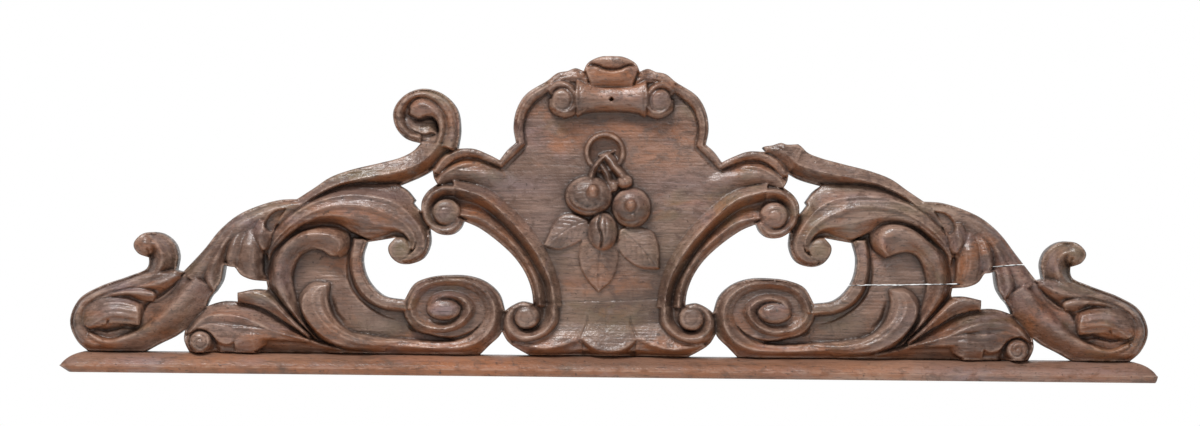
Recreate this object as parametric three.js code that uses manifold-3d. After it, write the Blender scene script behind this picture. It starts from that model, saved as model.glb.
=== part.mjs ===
// A carved oak overdoor panel: a pierced relief of a shield between two acanthus wings, on a nosing strip.
//
// Sizes are in millimetres. A place on the panel is written as two numbers: how far it is out from the
// middle line, and how far it is up from the underside of the strip. Relief is measured forward from
// the flat back. X runs right, Z runs up, the front faces -Y and the back lies on the plane Y = 0.

import * as THREE from 'three';
import { mergeVertices } from 'three/addons/utils/BufferGeometryUtils.js';
import Module from 'manifold-3d';

const wasm = await Module();
wasm.setup();

// Driving dimensions of the strip.
const STRIP_HALF_LENGTH = 547;
const STRIP_HEIGHT = 20;
const STRIP_DEPTH = 52;
const STRIP_FILLET = 6;
const STRIP_QUIRK = 1.5;
const STRIP_QUIRK_RISE = 0.5;
const STRIP_ROUND = 24;
const STRIP_ROUND_STEPS = 6;

// Driving dimensions of the panel.
const GAP = 0.3;
const FOOT = STRIP_HEIGHT + GAP;
const PANEL_TOP = 320.5;
const MOUNT_HEIGHT = 150;
const GROUND = 17;
const FIELD = 24;
const SHIELD_FIELD = 32;
const SHIELD_SWELL = 5;
const EDGE = 27;
const FACE = 36;
const CREST = 44;
const LEAF_CREST = 49;
const FRUIT_TOP = 61;

// The right wing was carved a little higher than the left one.
const RIGHT_LIFT = 4;

// The fruit, seated on the field, and the ring that it hangs from.
const FRUIT_SEAT = 41;
const STALK_SEAT = 34;
const STALK_HALF_WIDTH = 3;
const RING_OUT = -6;
const RING_UP = 224;
const RING_BORE = 16;
const RING_WIDTH = 5.5;
const WELL_FLOOR = 24;

// The two through breaks of the right wing.
const BREAK_WIDTH = 1.7;

// How closely the outline and the carving are followed.
const FINE_STEP = 4;
const OUTLINE_SLACK = 1.5;
const CARVING_SLACK = 2.9;
const MOULDING_SLACK = 1.6;
const JOIN_TOLERANCE = 0.1;
const MERGE_DISTANCE = 1e-4;
const ROUND_SIDES = 12;
const BUTTON_SIDES = 8;
const KNOB_SIDES = 7;

// Where carved forms are rooted inside the board, and how far cutters run clear of it.
const ROOT_DEPTH = 6;
const CLEAR_DEPTH = 90;
const PAST = 1;

const LEFT = -1;
const RIGHT = 1;

// Helpers

function ease(value, from, to) {
  return THREE.MathUtils.smoothstep(value, from, to);
}

function place(side, [out, up]) {
  const raised = side === RIGHT ? RIGHT_LIFT * ease(out, 180, 215) * (1 - ease(out, 415, 440)) : 0;
  return [side * out, up + raised * ease(up, 95, 125)];
}

function placeAll(side, points) {
  return points.map((point) => place(side, point));
}

function smoothCurve(points) {
  const corners = points.map(([x, z]) => new THREE.Vector3(x, 0, z));
  return new THREE.CatmullRomCurve3(corners, false, 'centripetal');
}

function fineSteps(curves) {
  return Math.ceil(Math.max(...curves.map((curve) => curve.getLength())) / FINE_STEP);
}

// Keeps the stations that a run of lines needs for each line to stay within the slack of its curve.
function thin(stations, slack) {
  const last = stations.length - 1;
  const nearest = new THREE.Vector3();
  let [far, apart] = [0, slack];
  for (let i = 1; i < last; i += 1) {
    stations[i].forEach((point, k) => {
      const chord = new THREE.Line3(stations[0][k], stations[last][k]);
      const off = chord.closestPointToPoint(point, true, nearest).distanceTo(point);
      if (off > apart) [far, apart] = [i, off];
    });
  }
  if (far === 0) return [stations[0], stations[last]];
  return [...thin(stations.slice(0, far + 1), slack).slice(0, -1), ...thin(stations.slice(far), slack)];
}

function toSolid(geometry) {
  geometry.deleteAttribute('normal');
  geometry.deleteAttribute('uv');
  const merged = mergeVertices(geometry, MERGE_DISTANCE);
  const index = merged.index.array;
  const kept = [];
  for (let i = 0; i < index.length; i += 3) {
    const [a, b, c] = [index[i], index[i + 1], index[i + 2]];
    if (a !== b && b !== c && c !== a) kept.push(a, b, c);
  }
  if (signedVolume(merged.attributes.position, kept) < 0) kept.reverse();
  const vertProperties = new Float32Array(merged.attributes.position.array);
  const triVerts = new Uint32Array(kept);
  const mesh = new wasm.Mesh({ numProp: 3, vertProperties, triVerts, tolerance: JOIN_TOLERANCE });
  return new wasm.Manifold(mesh);
}

function signedVolume(position, index) {
  const corner = [new THREE.Vector3(), new THREE.Vector3(), new THREE.Vector3()];
  let total = 0;
  for (let i = 0; i < index.length; i += 3) {
    corner.forEach((point, k) => point.fromBufferAttribute(position, index[i + k]));
    total += corner[0].dot(corner[1].clone().cross(corner[2])) / 6;
  }
  return total;
}

function toGeometry(solid) {
  const { numProp, vertProperties, triVerts } = solid.getMesh();
  const position = new Float32Array((vertProperties.length / numProp) * 3);
  for (let i = 0; i < position.length / 3; i += 1) {
    for (let k = 0; k < 3; k += 1) position[3 * i + k] = vertProperties[numProp * i + k];
  }
  const geometry = new THREE.BufferGeometry();
  geometry.setAttribute('position', new THREE.BufferAttribute(position, 3));
  geometry.setIndex(new THREE.BufferAttribute(new Uint32Array(triVerts), 1));
  geometry.computeVertexNormals();
  return geometry;
}

function join(solids) {
  let queue = [...solids];
  while (queue.length > 1) {
    const next = [];
    for (let i = 0; i < queue.length; i += 2) {
      next.push(i + 1 < queue.length ? queue[i].add(queue[i + 1]) : queue[i]);
    }
    queue = next;
  }
  return queue[0];
}

// A flat plate cut to an outline, standing from one relief to another.
function plate(outline, from, to) {
  const shape = new THREE.Shape(outline.map(([x, z]) => new THREE.Vector2(x, z)));
  const geometry = new THREE.ExtrudeGeometry(shape, { depth: to - from, bevelEnabled: false });
  geometry.translate(0, 0, from);
  geometry.rotateX(Math.PI / 2);
  return toSolid(geometry);
}

// One line of a carved strip: the points that it runs through, and its relief, or reliefs from end to end.
function line(relief, points) {
  return { relief: Array.isArray(relief) ? relief : [relief, relief], points };
}

function reliefAt(relief, share) {
  const along = share * (relief.length - 1);
  const index = Math.min(Math.floor(along), relief.length - 2);
  return THREE.MathUtils.lerp(relief[index], relief[index + 1], along - index);
}

// A carved strip: a surface drawn over lines that run side by side, closed down into the board.
function strip(side, lines, slack = CARVING_SLACK) {
  const curves = lines.map(({ points }) => smoothCurve(placeAll(side, points)));
  const steps = fineSteps(curves);
  const traced = curves.map((curve, k) => curve.getSpacedPoints(steps).map(({ x, z }, i) =>
    new THREE.Vector3(x, -reliefAt(lines[k].relief, i / steps), z)));
  const stations = thin(traced[0].map((_, i) => traced.map((row) => row[i])), slack);
  const rows = lines.map((_, k) => stations.map((station) => station[k]));
  const count = stations.length - 1;
  const width = stations.length;
  const total = rows.length * width;
  const position = [];
  rows.flat().forEach(({ x, y, z }) => position.push(x, y, z));
  rows.flat().forEach(({ x, z }) => position.push(x, -ROOT_DEPTH, z));
  const index = [];
  const quad = (a, b, c, d) => index.push(a, b, c, a, c, d);
  for (let k = 0; k < rows.length - 1; k += 1) {
    for (let i = 0; i < count; i += 1) {
      const a = k * width + i;
      quad(a, a + 1, a + width + 1, a + width);
      quad(total + a, total + a + width, total + a + width + 1, total + a + 1);
    }
    const [near, far] = [k * width, k * width + count];
    quad(near, near + width, total + near + width, total + near);
    quad(far, total + far, total + far + width, far + width);
  }
  for (let i = 0; i < count; i += 1) {
    const last = (rows.length - 1) * width + i;
    quad(i, total + i, total + i + 1, i + 1);
    quad(last, last + 1, total + last + 1, total + last);
  }
  const geometry = new THREE.BufferGeometry();
  geometry.setAttribute('position', new THREE.Float32BufferAttribute(position, 3));
  geometry.setIndex(index);
  return toSolid(geometry);
}

// A rounded button on a straight-sided foot.
function button(side, [out, up], [halfWide, halfHigh], shoulder, top, around = BUTTON_SIDES) {
  const profile = [new THREE.Vector2(0, ROOT_DEPTH), new THREE.Vector2(1, ROOT_DEPTH)];
  const rings = 2;
  for (let i = 0; i <= rings; i += 1) {
    const turn = (i / rings) * (Math.PI / 2);
    const radius = i === rings ? 0 : Math.cos(turn);
    profile.push(new THREE.Vector2(radius, shoulder + (top - shoulder) * Math.sin(turn)));
  }
  const geometry = new THREE.LatheGeometry(profile, around);
  geometry.scale(halfWide, 1, halfHigh);
  geometry.rotateX(Math.PI);
  const [x, z] = place(side, [out, up]);
  geometry.translate(x, 0, z);
  return toSolid(geometry);
}

// A ball, flattened or stretched, set into the relief.
function ball([x, z], relief, [halfWide, halfHigh, halfDeep], around = ROUND_SIDES) {
  const geometry = new THREE.SphereGeometry(1, around, Math.ceil(around / 2));
  geometry.rotateX(Math.PI / 2);
  geometry.scale(halfWide, halfDeep, halfHigh);
  geometry.translate(x, -relief, z);
  return toSolid(geometry);
}

// A pocket sunk from the front down to a floor.
function pocket(side, points, floor) {
  return plate(placeAll(side, points), floor, CLEAR_DEPTH);
}

// Outline of the board: corners part the smooth stretches.

const GAP_UNDER_VOLUTES = [
  [[79, FOOT], [91, 27], [101, 34], [107, 44]],
  [[107, 44], [110, 39], [119, 30.5], [129, FOOT]],
];
const FOOT_OF_WING = [[129, FOOT], [420, FOOT]];
const GAP_UNDER_STEM = [
  [[420, FOOT], [425.5, 34], [424, 43.5]],
  [[424, 43.5], [434, 36], [450, 28], [464, FOOT]],
];
const FOOT_OF_END_SCROLL = [[464, FOOT], [521, FOOT]];
const BACK_OF_END_SCROLL = [
  [521, FOOT], [532, 30], [539.5, 50], [531, 72], [510, 85], [480, 96], [463, 104], [461, 114.5],
];
const FINIAL_HEAD = [
  [461, 114.5], [472, 119.5], [475.5, 128], [466, 138.5], [450, 139], [437, 130], [432, 117],
  [434, 102],
];
const LEAF_TIP_BY_STEM = [[434, 102], [427, 100]];
const TOP_OF_STEM = [
  [427, 100], [405, 124], [390, 143], [372, 158], [350, 168], [330, 173.5], [313, 174.5],
];
const TOP_OF_ARM = [
  [313, 174.5], [297, 185], [280, 196.5], [260, 204], [232, 211], [210, 217], [197, 224], [190, 231.5],
];
const LEFT_CURL = [
  [190, 231.5], [205, 236], [215.5, 248], [217.5, 264], [207, 279], [188, 286], [168, 281], [154, 266],
  [150.5, 245],
  [153, 226.5],
];
const RIGHT_BROKEN_END = [
  [[190, 231.5], [187, 234]],
  [[187, 234], [175, 234], [170, 235.5], [161, 233]],
  [[161, 233], [152, 231], [155, 227], [153, 226.5]],
];
const SHOULDER = [[153, 226.5], [137, 226.5], [122, 221], [111, 215.5]];
const NECK = [[111, 215.5], [103, 226], [95, 233]];
const ARCH = [[95, 233], [97.5, 248], [95, 265], [86, 281], [63, 296]];
const CREST_LEAF = [
  [[63, 296], [54, 303], [44, 305]],
  [[44, 305], [36, 308], [28, 305]],
];
const CUP = [[28, 305], [24, 313], [12, 319.3], [0, PANEL_TOP]];

const STEM_OPENING = [
  [[404, 66], [399, 76], [394, 81.5]],
  [[394, 81.5], [388, 92], [385, 108]],
  [[385, 108], [379, 106.5], [374, 106]],
  [[374, 106], [368, 98.5], [358, 94], [343, 92]],
  [[343, 92], [342, 83]],
  [[342, 83], [356, 83.5], [371, 80.5]],
  [[371, 80.5], [371, 71]],
  [[371, 71], [388, 71], [404, 66]],
];
const MAIN_OPENING = [
  [[243, 132], [247, 117], [245, 102], [238, 89], [225, 78], [205, 74.5]],
  [[205, 74.5], [195, 91], [180, 97.5], [160, 99.8], [140, 99], [123, 93], [110, 81], [104.5, 64.5]],
  [[104.5, 64.5], [98, 69.5], [87, 74], [76, 72]],
  [[76, 72], [78, 86], [84, 102], [95, 118], [112, 134], [132, 148], [146, 154]],
  [[146, 154], [150, 146], [158, 140.5], [170, 141], [180.5, 147]],
  [[180.5, 147], [179.5, 131], [186, 117], [198, 111], [210, 111.5], [219, 119], [221, 128], [214, 137]],
  [[214, 137], [228, 134.5], [243, 132]],
];
const ARM_OPENING = [
  [[211, 189], [203, 184], [195, 174.5]],
  [[195, 174.5], [197, 171.5]],
  [[197, 171.5], [192, 165.5], [188.5, 163.5]],
  [[188.5, 163.5], [188, 174], [183, 183], [173, 191]],
  [[173, 191], [177, 198], [177.5, 205]],
  [[177.5, 205], [190, 198], [211, 189]],
];

function followStretches(side, stretches) {
  return stretches.flatMap((stretch) => {
    const curve = smoothCurve(placeAll(side, stretch));
    const stations = curve.getSpacedPoints(fineSteps([curve])).map((point) => [point]);
    return thin(stations, OUTLINE_SLACK).slice(0, -1).map(([{ x, z }]) => [x, z]);
  });
}

function halfOutline(side) {
  const armEnd = side === LEFT ? [LEFT_CURL] : RIGHT_BROKEN_END;
  return followStretches(side, [
    ...GAP_UNDER_VOLUTES, FOOT_OF_WING, ...GAP_UNDER_STEM, FOOT_OF_END_SCROLL,
    BACK_OF_END_SCROLL, FINIAL_HEAD, LEAF_TIP_BY_STEM, TOP_OF_STEM, TOP_OF_ARM, ...armEnd,
    SHOULDER, NECK, ARCH, ...CREST_LEAF, CUP,
  ]);
}

function boardOutline() {
  const left = halfOutline(LEFT);
  const right = halfOutline(RIGHT);
  return [...left, [0, PANEL_TOP], ...right.reverse()];
}

function boardOpenings() {
  return [LEFT, RIGHT].flatMap((side) =>
    [STEM_OPENING, MAIN_OPENING, ARM_OPENING].map((opening) => followStretches(side, opening)),
  );
}

// The end scroll: a blade that rolls back over a fluted barrel, and the band that carries it.
function endScroll(side) {
  const blade = strip(side, [
    line(20, [
      [500, 20], [524, 20], [538, 36], [540, 54], [531, 73], [510, 86], [480, 97], [455, 104],
      [427, 101],
    ]),
    line(40, [
      [500, 27], [519, 30], [529, 42], [531, 56], [523, 69], [505, 78], [478, 87], [452, 94],
      [428, 99],
    ]),
    line([32, 34, 40], [
      [500, 31], [513, 36], [521, 47], [522, 60], [514, 71], [500, 76], [480, 79], [458, 84],
      [430, 95],
    ]),
  ]);
  const tongue = strip(side, [
    line([36, 40, 42], [[512, 78], [492, 81], [470, 83], [457, 81], [453, 77]]),
    line([38, 46, 46], [[512, 76], [494, 79], [474, 78.5], [462, 76.5], [454, 76]]),
    line([30, 36, 38], [[512, 72], [496, 75], [480, 76], [468, 71.5], [455, 72]]),
  ]);
  const barrel = strip(side, [
    line(24, [[527, 50], [522, 62], [512, 71], [495, 75], [475, 71]]),
    line([36, 42, 44], [[523, 48], [517, 58], [507, 65], [492, 67], [470, 63]]),
    line([38, 45, 46], [[520, 46], [512, 53], [503, 58], [490, 59], [467, 55]]),
    line([34, 40, 42], [[517, 44], [509, 46], [501, 48], [490, 47], [470, 43]]),
  ]);
  const band = strip(side, [
    line([26, 28, 33], [[514, 41], [500, 36], [482, 41], [463, 49], [447, 62], [434, 79], [426, 99]]),
    line([38, 42, 42], [[519, 36], [502, 29], [486, 33.5], [466, 41.5], [446, 55], [428, 73], [410, 95]]),
    line(EDGE, [[522, 20], [500, 19], [466, 19], [444, 31], [424, 43], [405, 65], [393, 82]]),
  ]);
  return [blade, tongue, barrel, band];
}

// The finial: the stalk and curled head that stand up from the end scroll.
function finial(side) {
  const stalk = strip(side, [
    line(24, [[470, 94], [461, 104], [459, 114], [461, 123], [466, 127]]),
    line([38, 42, 40], [[456, 92], [448, 106], [447, 118], [453, 129], [463, 132]]),
    line(24, [[437, 97], [432, 112], [435, 129], [449, 140], [468, 139]]),
  ]);
  const head = button(side, [465, 127.5], [11.5, 11.5], 28, 43);
  return [stalk, head];
}

// The stem: overlapping leaf sheaths that rise from the end scroll to the arm.
function stem(side) {
  const sheath = strip(side, [
    line(EDGE, [[428, 99], [405, 125], [390, 144], [372, 159], [350, 169], [330, 174.5], [310, 176]]),
    line(42, [[418, 94], [399, 116], [384, 135], [367, 149], [348, 159], [330, 165], [312, 167]]),
    line(FACE, [[406, 88], [390, 108], [376, 125], [360, 138], [345, 148], [330, 153], [316, 158]]),
  ]);
  const firstLeaf = strip(side, [
    line(34, [[393, 81.5], [403, 90], [406, 101], [402, 116], [391, 133]]),
    line([40, 46, 44], [[393, 82], [397, 93], [397, 105], [393, 118], [385, 135]]),
    line(32, [[393, 81.5], [388, 92], [386, 105], [384, 118], [378, 137]]),
  ]);
  const secondLeaf = strip(side, [
    line(31, [[383, 106], [387, 117], [385, 129], [376, 145]]),
    line([42, 46, 45], [[379, 105], [379, 118], [375, 131], [367, 146]]),
    line(33, [[374, 105], [371, 117], [366, 131], [358, 147]]),
  ]);
  const belly = strip(side, [
    line(33, [[374, 103], [370, 119], [362, 138], [350, 153]]),
    line([44, 48, 46], [[365, 96], [360, 114], [353, 134], [343, 150]]),
    line([40, 44, 44], [[355, 92], [351, 110], [346, 128], [337, 145]]),
    line(FIELD, [[343, 91], [341, 108], [338, 126], [330, 142]]),
  ]);
  const thirdLeaf = strip(side, [
    line(43, [[359, 133], [350, 144], [338, 154]]),
    line(LEAF_CREST, [[352, 126], [345, 136], [333, 148]]),
    line(40, [[345, 122.5], [338, 130], [329, 141]]),
  ]);
  return [sheath, firstLeaf, secondLeaf, belly, thirdLeaf];
}

// The low leaf that lies along the strip and ends in a button.
function lowLeaf(side) {
  const blade = strip(side, [
    line(EDGE, [[426, 42], [416, 58], [400, 69], [380, 73], [362, 76], [345, 71], [326, 57], [299, 36]]),
    line([40, 45, 40], [[419, 41], [406, 54], [390, 59], [370, 61], [350, 57], [325, 47], [299, 33]]),
    line([36, 42, 36], [[412, 43], [399, 48], [383, 48], [366, 46], [345, 45], [322, 41], [299, 31]]),
    line(EDGE, [
      [410, 36], [400, 37], [389, 31], [375, 24], [361, 21], [347, 30], [333, 37.5], [318, 37],
      [299, 28],
    ]),
  ]);
  const fold = strip(side, [
    line(FIELD, [[371, 82], [356, 85], [343, 84], [328, 72], [314, 57], [299, 39]]),
    line(41, [[371, 79], [357, 80], [345, 76], [330, 65], [315, 52], [299, 37]]),
    line(34, [[371, 71], [358, 72], [345, 68], [330, 59], [315, 48], [299, 35]]),
  ]);
  const curl = button(side, [409.5, 32], [16, 14], 25, 37);
  const bead = button(side, [408, 31], [9.5, 9.5], 36, 45);
  return [blade, fold, curl, bead];
}

// The band that springs from the foot of the wing and ends in a knob.
function knobBand(side) {
  const outer = side === LEFT
    ? [
      [298, 36], [318, 57], [336, 78], [342, 92], [340, 108], [333, 126], [318, 140], [298, 148.5],
      [278, 148.5], [263, 141],
    ]
    : [
      [298, 36], [318, 57], [336, 78], [342, 92], [340, 108], [333, 126], [318, 142], [298, 154],
      [280, 157], [264, 149],
    ];
  const crest = side === LEFT
    ? [
      [298, 40], [310, 58], [324, 78], [331, 95], [329, 110], [322, 124], [309, 134], [293, 139.5],
      [277, 138], [268, 131],
    ]
    : [
      [298, 40], [310, 58], [324, 78], [331, 95], [329, 110], [322, 124], [309, 136], [294, 143],
      [280, 143], [270, 135],
    ];
  const band = strip(side, [
    line(EDGE, outer),
    line([38, 44, 46, 46], crest),
    line([28, 32, 34], [
      [297, 43], [304, 54], [314, 71], [318, 88], [316, 102], [309, 116], [298, 124], [284, 124],
      [273, 120],
    ]),
  ]);
  const knob = side === LEFT
    ? button(side, [272, 133.5], [12.5, 14.5], FACE, 49)
    : button(side, [276, 137], [16, 18], FACE, 49);
  return [band, knob];
}

// The sunk field of the wing and the fillet round its open side.
function wingField(side) {
  const ground = plate(placeAll(side, [
    [318, 90], [306, 122], [264, 142], [243, 134], [247, 112], [240, 91], [222, 77], [203, 75],
    [200, 46], [165, 38],
    [145, 30], [260, 24], [298, 34], [312, 62],
  ]), ROOT_DEPTH, FIELD);
  const fillet = strip(side, [
    line(31, [[243, 134], [247, 117], [245, 102], [238, 88], [224, 77.5], [203, 74.5]]),
    line(38, [[249, 135], [253, 117], [251, 100], [243, 84], [227, 72.5], [203, 69.5]]),
    line(25, [[257, 136], [259.5, 116], [257, 98], [248, 81], [230, 68.5], [203, 64]]),
  ]);
  return [ground, fillet];
}

// The strap that runs along the foot of the wing and winds up into the large scroll.
function footScroll(side) {
  const strap = strip(side, [
    line(EDGE, [
      [268, 20], [200, 20], [131, 20], [113, 34], [105, 56], [110, 81], [130, 97], [160, 100],
      [190, 95], [203, 81], [206, 66],
    ]),
    line([36, 38, 42, 42, 42], [
      [268, 34], [205, 28.5], [142, 29.5], [122, 41], [114, 60], [119, 80], [138, 93.5], [161, 95.5],
      [185, 90], [196, 78], [200, 66],
    ]),
    line([34, 35, 35, 35, 35], [
      [268, 43], [210, 35], [148, 35.5], [130, 48], [123, 64], [130, 80], [147, 89], [164, 90],
      [181, 85.5], [190, 76], [193, 67],
    ]),
  ]);
  const coil = strip(side, [
    line(33, [
      [206, 68], [203, 57], [190, 44], [165, 41.5], [143, 49], [132, 66], [142, 80.5], [160, 85],
      [178, 80], [184, 70],
    ]),
    line([38, 42, 44, 44], [
      [198, 68], [196, 59], [186, 50], [165, 46.5], [148, 53], [139, 66], [146, 76], [160, 80],
      [172, 77], [178, 71],
    ]),
    line([34, 35, 36, 38], [
      [192, 68], [190, 62], [181, 55], [165, 51.5], [153, 56], [146, 66], [151, 73], [160, 76],
      [168, 74], [172, 70],
    ]),
  ]);
  const eye = button(side, [166, 65], [15, 9.5], 36, 46);
  return [strap, coil, eye];
}

// The leaf that rolls over inside the wing, fluted along its length.
function rolledLeaf(side) {
  return [strip(side, [
    line(EDGE, [[279, 76], [286, 86], [296, 89], [306, 81], [310, 68], [304, 52], [288, 36], [262, 23]]),
    line([44, 48, 48, 40], [
      [280, 75], [289, 80], [297, 79], [302, 70], [301, 59], [293, 46], [278, 34], [256, 27],
    ]),
    line([40, 44, 44, 38], [[280, 73], [286, 74], [290, 68], [289, 58], [283, 47], [271, 38], [252, 32]]),
    line([34, 36, 36, 34], [[279.5, 72], [281, 66], [279, 57], [273, 49], [262, 42], [246, 37]]),
  ])];
}

// The great acanthus leaf: long ribs from the stem to a turned-down curl.
function greatLeaf(side) {
  const blade = strip(side, [
    line(30, [
      [338, 142], [324, 161], [308, 172], [290, 182], [270, 189], [250, 191], [230, 190], [211, 189.5],
      [194, 175],
    ]),
    line([40, 48, 46], [
      [335, 140], [318, 157], [302, 168], [284, 176], [265, 180], [245, 180], [226, 177], [210, 171],
      [197, 163],
    ]),
    line([38, 43, 42], [
      [333, 138], [316, 154], [300, 164], [282, 171], [262, 174], [244, 173], [226, 168.5], [211, 163],
      [199, 155],
    ]),
    line([42, LEAF_CREST, LEAF_CREST], [
      [331, 136], [314, 151], [298, 160.5], [280, 167], [258, 169], [240, 167], [224, 161.5],
      [209, 154], [199, 145],
    ]),
    line([38, 42, 42], [
      [328, 134], [311, 148.5], [295, 156], [278, 159], [260, 157], [244, 152.5], [228, 150.5],
      [212, 148.5], [202, 140],
    ]),
    line([30, 34, 34], [
      [326, 131], [308, 146.5], [292, 151], [272, 151], [256, 142.5], [240, 140], [225, 143],
      [212, 142], [201, 134],
    ]),
  ]);
  const turn = strip(side, [
    line(EDGE, [
      [210, 190], [195, 174], [187, 160], [180, 145], [179, 130], [186, 116], [198, 110], [211, 111],
      [221, 120],
    ]),
    line([44, 48, 48, 44], [
      [222, 176], [206, 166], [196, 153], [190, 141], [188, 130], [192, 121], [200, 116], [209, 115.5],
      [216, 121],
    ]),
    line([40, 38, 36, 36], [
      [222, 160], [208, 155], [200, 146], [196, 137], [195, 130], [198, 123], [203, 119], [209, 118.5],
      [213, 122],
    ]),
  ]);
  const curl = button(side, [209, 125], [12, 12], 38, 50);
  return [blade, turn, curl];
}

// The arm: a strap with a sharp ridge that rises over the great leaf to the shield.
function arm(side) {
  return [strip(side, [
    line([34, 38, 36], [
      [316, 173], [297, 186], [280, 197.5], [260, 205], [232, 212], [210, 218], [197, 225], [190, 233],
    ]),
    line([42, 45, 45], [
      [308, 169], [290, 181], [270, 190], [248, 195.5], [222, 200.5], [203, 205.5], [186, 214.5],
      [171, 231],
    ]),
    line([28, 22, 22, 26], [
      [302, 166], [284, 179], [262, 188], [238, 188], [211, 188], [195, 195], [177, 205], [152, 226],
    ]),
  ])];
}

// The whole curl that ends the left arm.
function armCurl(side) {
  const ring = strip(side, [
    line(EDGE, [
      [152, 223], [150, 245], [154, 266], [168, 281], [188, 287], [207, 280], [218, 264], [216, 248],
      [205, 235], [190, 231],
    ]),
    line([44, 46, 46, 42], [
      [161, 226], [159, 246], [163, 262], [174, 274], [189, 279], [203, 273], [211, 262], [209, 250],
      [201, 241], [190, 237],
    ]),
    line([36, 33, 33, 30], [
      [170, 230], [170, 247], [173, 257], [181, 265], [190, 269], [199, 266], [205, 260], [204, 252],
      [198, 246], [190, 242],
    ]),
  ]);
  const eye = button(side, [193, 265], [12.5, 11.5], 36, 50);
  return [ring, eye];
}

// The stump that is left of the right arm, broken off rough over the shoulder.
function armStump(side) {
  return [strip(side, [
    line([38, 42, 36], [[192, 230], [182, 235], [168, 236.5], [152, 232]]),
    line([45, 44, 41], [[186, 216], [176, 224], [166, 229], [153, 230]]),
    line([30, 31, 33], [[178, 206], [170, 212], [162, 218], [151, 225]]),
  ])];
}

// The shield: its swelling field, its rim and the long side mouldings with their volutes.
function shieldField() {
  const half = [
    [60, 26], [56, 50], [56, 80], [66, 108], [92, 143], [122, 172], [150, 187], [172, 196], [164, 212],
    [140, 220],
    [112, 211], [92, 230], [91, 252], [83, 272], [66, 289],
  ];
  const whole = [...placeAll(LEFT, half), ...placeAll(RIGHT, half).reverse()];
  const ground = plate(whole, ROOT_DEPTH, SHIELD_FIELD);
  const crown = SHIELD_FIELD + SHIELD_SWELL;
  const swells = [LEFT, RIGHT].map((side) => strip(side, [
    line([SHIELD_FIELD, crown, crown, SHIELD_FIELD], [[0, 40], [0, 255]]),
    line([SHIELD_FIELD, crown - 2, crown - 1, SHIELD_FIELD], [[30, 45], [36, 150], [48, 250]]),
    line(SHIELD_FIELD - 0.5, [[50, 48], [52, 80], [82, 146], [118, 188], [84, 240]]),
  ]));
  return [ground, ...swells];
}

function shieldRim(side) {
  const shoulder = strip(side, [
    line(30, [[178, 207], [168, 220], [153, 227], [137, 227], [122, 222], [110, 216]]),
    line(41, [[174, 204], [165, 216], [152, 223.5], [137, 223.5], [122, 218], [110, 212.5]]),
    line(37, [[170, 201], [161, 211], [150, 218.5], [137, 219], [124, 215], [110, 209]]),
  ]);
  const neck = strip(side, [
    line(30, [[112, 215], [103, 227], [94, 234]]),
    line(41, [[111, 211], [101, 223], [90, 233]]),
    line(37, [[109, 208.5], [99, 218.5], [86, 232]]),
  ]);
  const arch = strip(side, [
    line(30, [[95, 231], [98, 248], [95.5, 265], [86, 282], [62, 297]]),
    line(41, [[91, 231], [93.5, 248], [91, 263], [82, 278], [60, 292]]),
    line(37, [[86.5, 231], [88.5, 247], [86, 261], [78, 274], [58, 287]]),
  ]);
  return [shoulder, neck, arch];
}

function sideMoulding(side) {
  const run = strip(side, [
    line(28, [[147, 153], [132, 147], [112, 133], [94.5, 118], [83.5, 102], [77, 86], [75, 70]]),
    line(40, [[152, 161], [128, 156], [106, 140.5], [88, 122], [77, 104], [71, 87], [69, 70]]),
    line(28, [[154, 177], [130, 169], [108, 152], [90, 132], [76, 111], [66, 92], [62, 70]]),
    line(CREST, [[156, 187], [128, 179], [106, 161.5], [84, 138], [68, 115], [58.5, 92], [55, 70]]),
    line(SHIELD_FIELD - 0.5, [[157, 194], [124, 186], [99, 167], [77, 143], [61, 118], [52, 93], [49, 70]]),
  ], MOULDING_SLACK);
  const upperVolute = strip(side, [
    line(29, [
      [154, 191], [171, 190], [184, 183], [190, 168], [187, 153], [175, 142], [159, 139], [149, 146],
      [145, 154],
    ]),
    line([CREST, 46, 44], [
      [155, 186], [168, 185], [178, 179], [183.5, 167], [181, 155], [172, 147], [160, 145.5],
      [153, 151], [150, 156],
    ]),
    line(30, [
      [155, 179.5], [165, 180], [173.5, 175], [177.5, 165.5], [176, 157], [169.5, 151], [161, 150],
      [156, 153.5], [153, 157],
    ]),
  ]);
  const upperEye = button(side, [164, 163], [11.5, 11.5], 34, 49);
  const lowerVolute = strip(side, [
    line(30, [
      [49, 71], [50, 53], [60, 40], [76, 33], [91, 31], [103, 40], [106, 56], [99, 69], [87, 75],
      [75, 73],
    ]),
    line([CREST, 46, 44], [
      [55, 71], [56.5, 56], [65, 46], [78, 40.5], [90, 40], [98, 47], [100, 57], [95.5, 66], [87, 70],
      [78, 69],
    ]),
    line(30, [
      [62, 71], [64, 59], [70, 51], [79, 46.5], [88, 47], [93, 52], [94.5, 58], [91.5, 64], [86, 67],
      [80, 67],
    ]),
  ]);
  const lowerEye = button(side, [81.5, 60], [11, 11.5], 34, 49);
  const voluteFoot = strip(side, [
    line(34, [[108, 47], [100, 36], [88, 31], [76, 31]]),
    line(24, [[108, 41], [101, 30], [90, 22], [76, 20]]),
  ]);
  return [run, upperVolute, upperEye, lowerVolute, lowerEye, voluteFoot];
}

// The three lobes that end the shield at its foot, with a cove under their edges.
function shieldFoot() {
  const sides = [LEFT, RIGHT].map((side) => strip(side, [
    line(33, [[80, 42], [60, 44], [45, 49], [26, 56]]),
    line(41, [[86, 32.5], [66, 28], [46, 31], [27, 40]]),
    line(23, [[86, 20], [66, 20], [46, 20], [27, 20]]),
  ]));
  const middle = strip(RIGHT, [
    line(34, [[-26, 56], [0, 50], [26, 56]]),
    line(43, [[-28.5, 39], [-15, 28.5], [0, 25], [15, 28.5], [28.5, 39]]),
    line(25, [[-29, 20], [0, 20], [29, 20]]),
  ]);
  return [...sides, middle];
}

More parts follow.
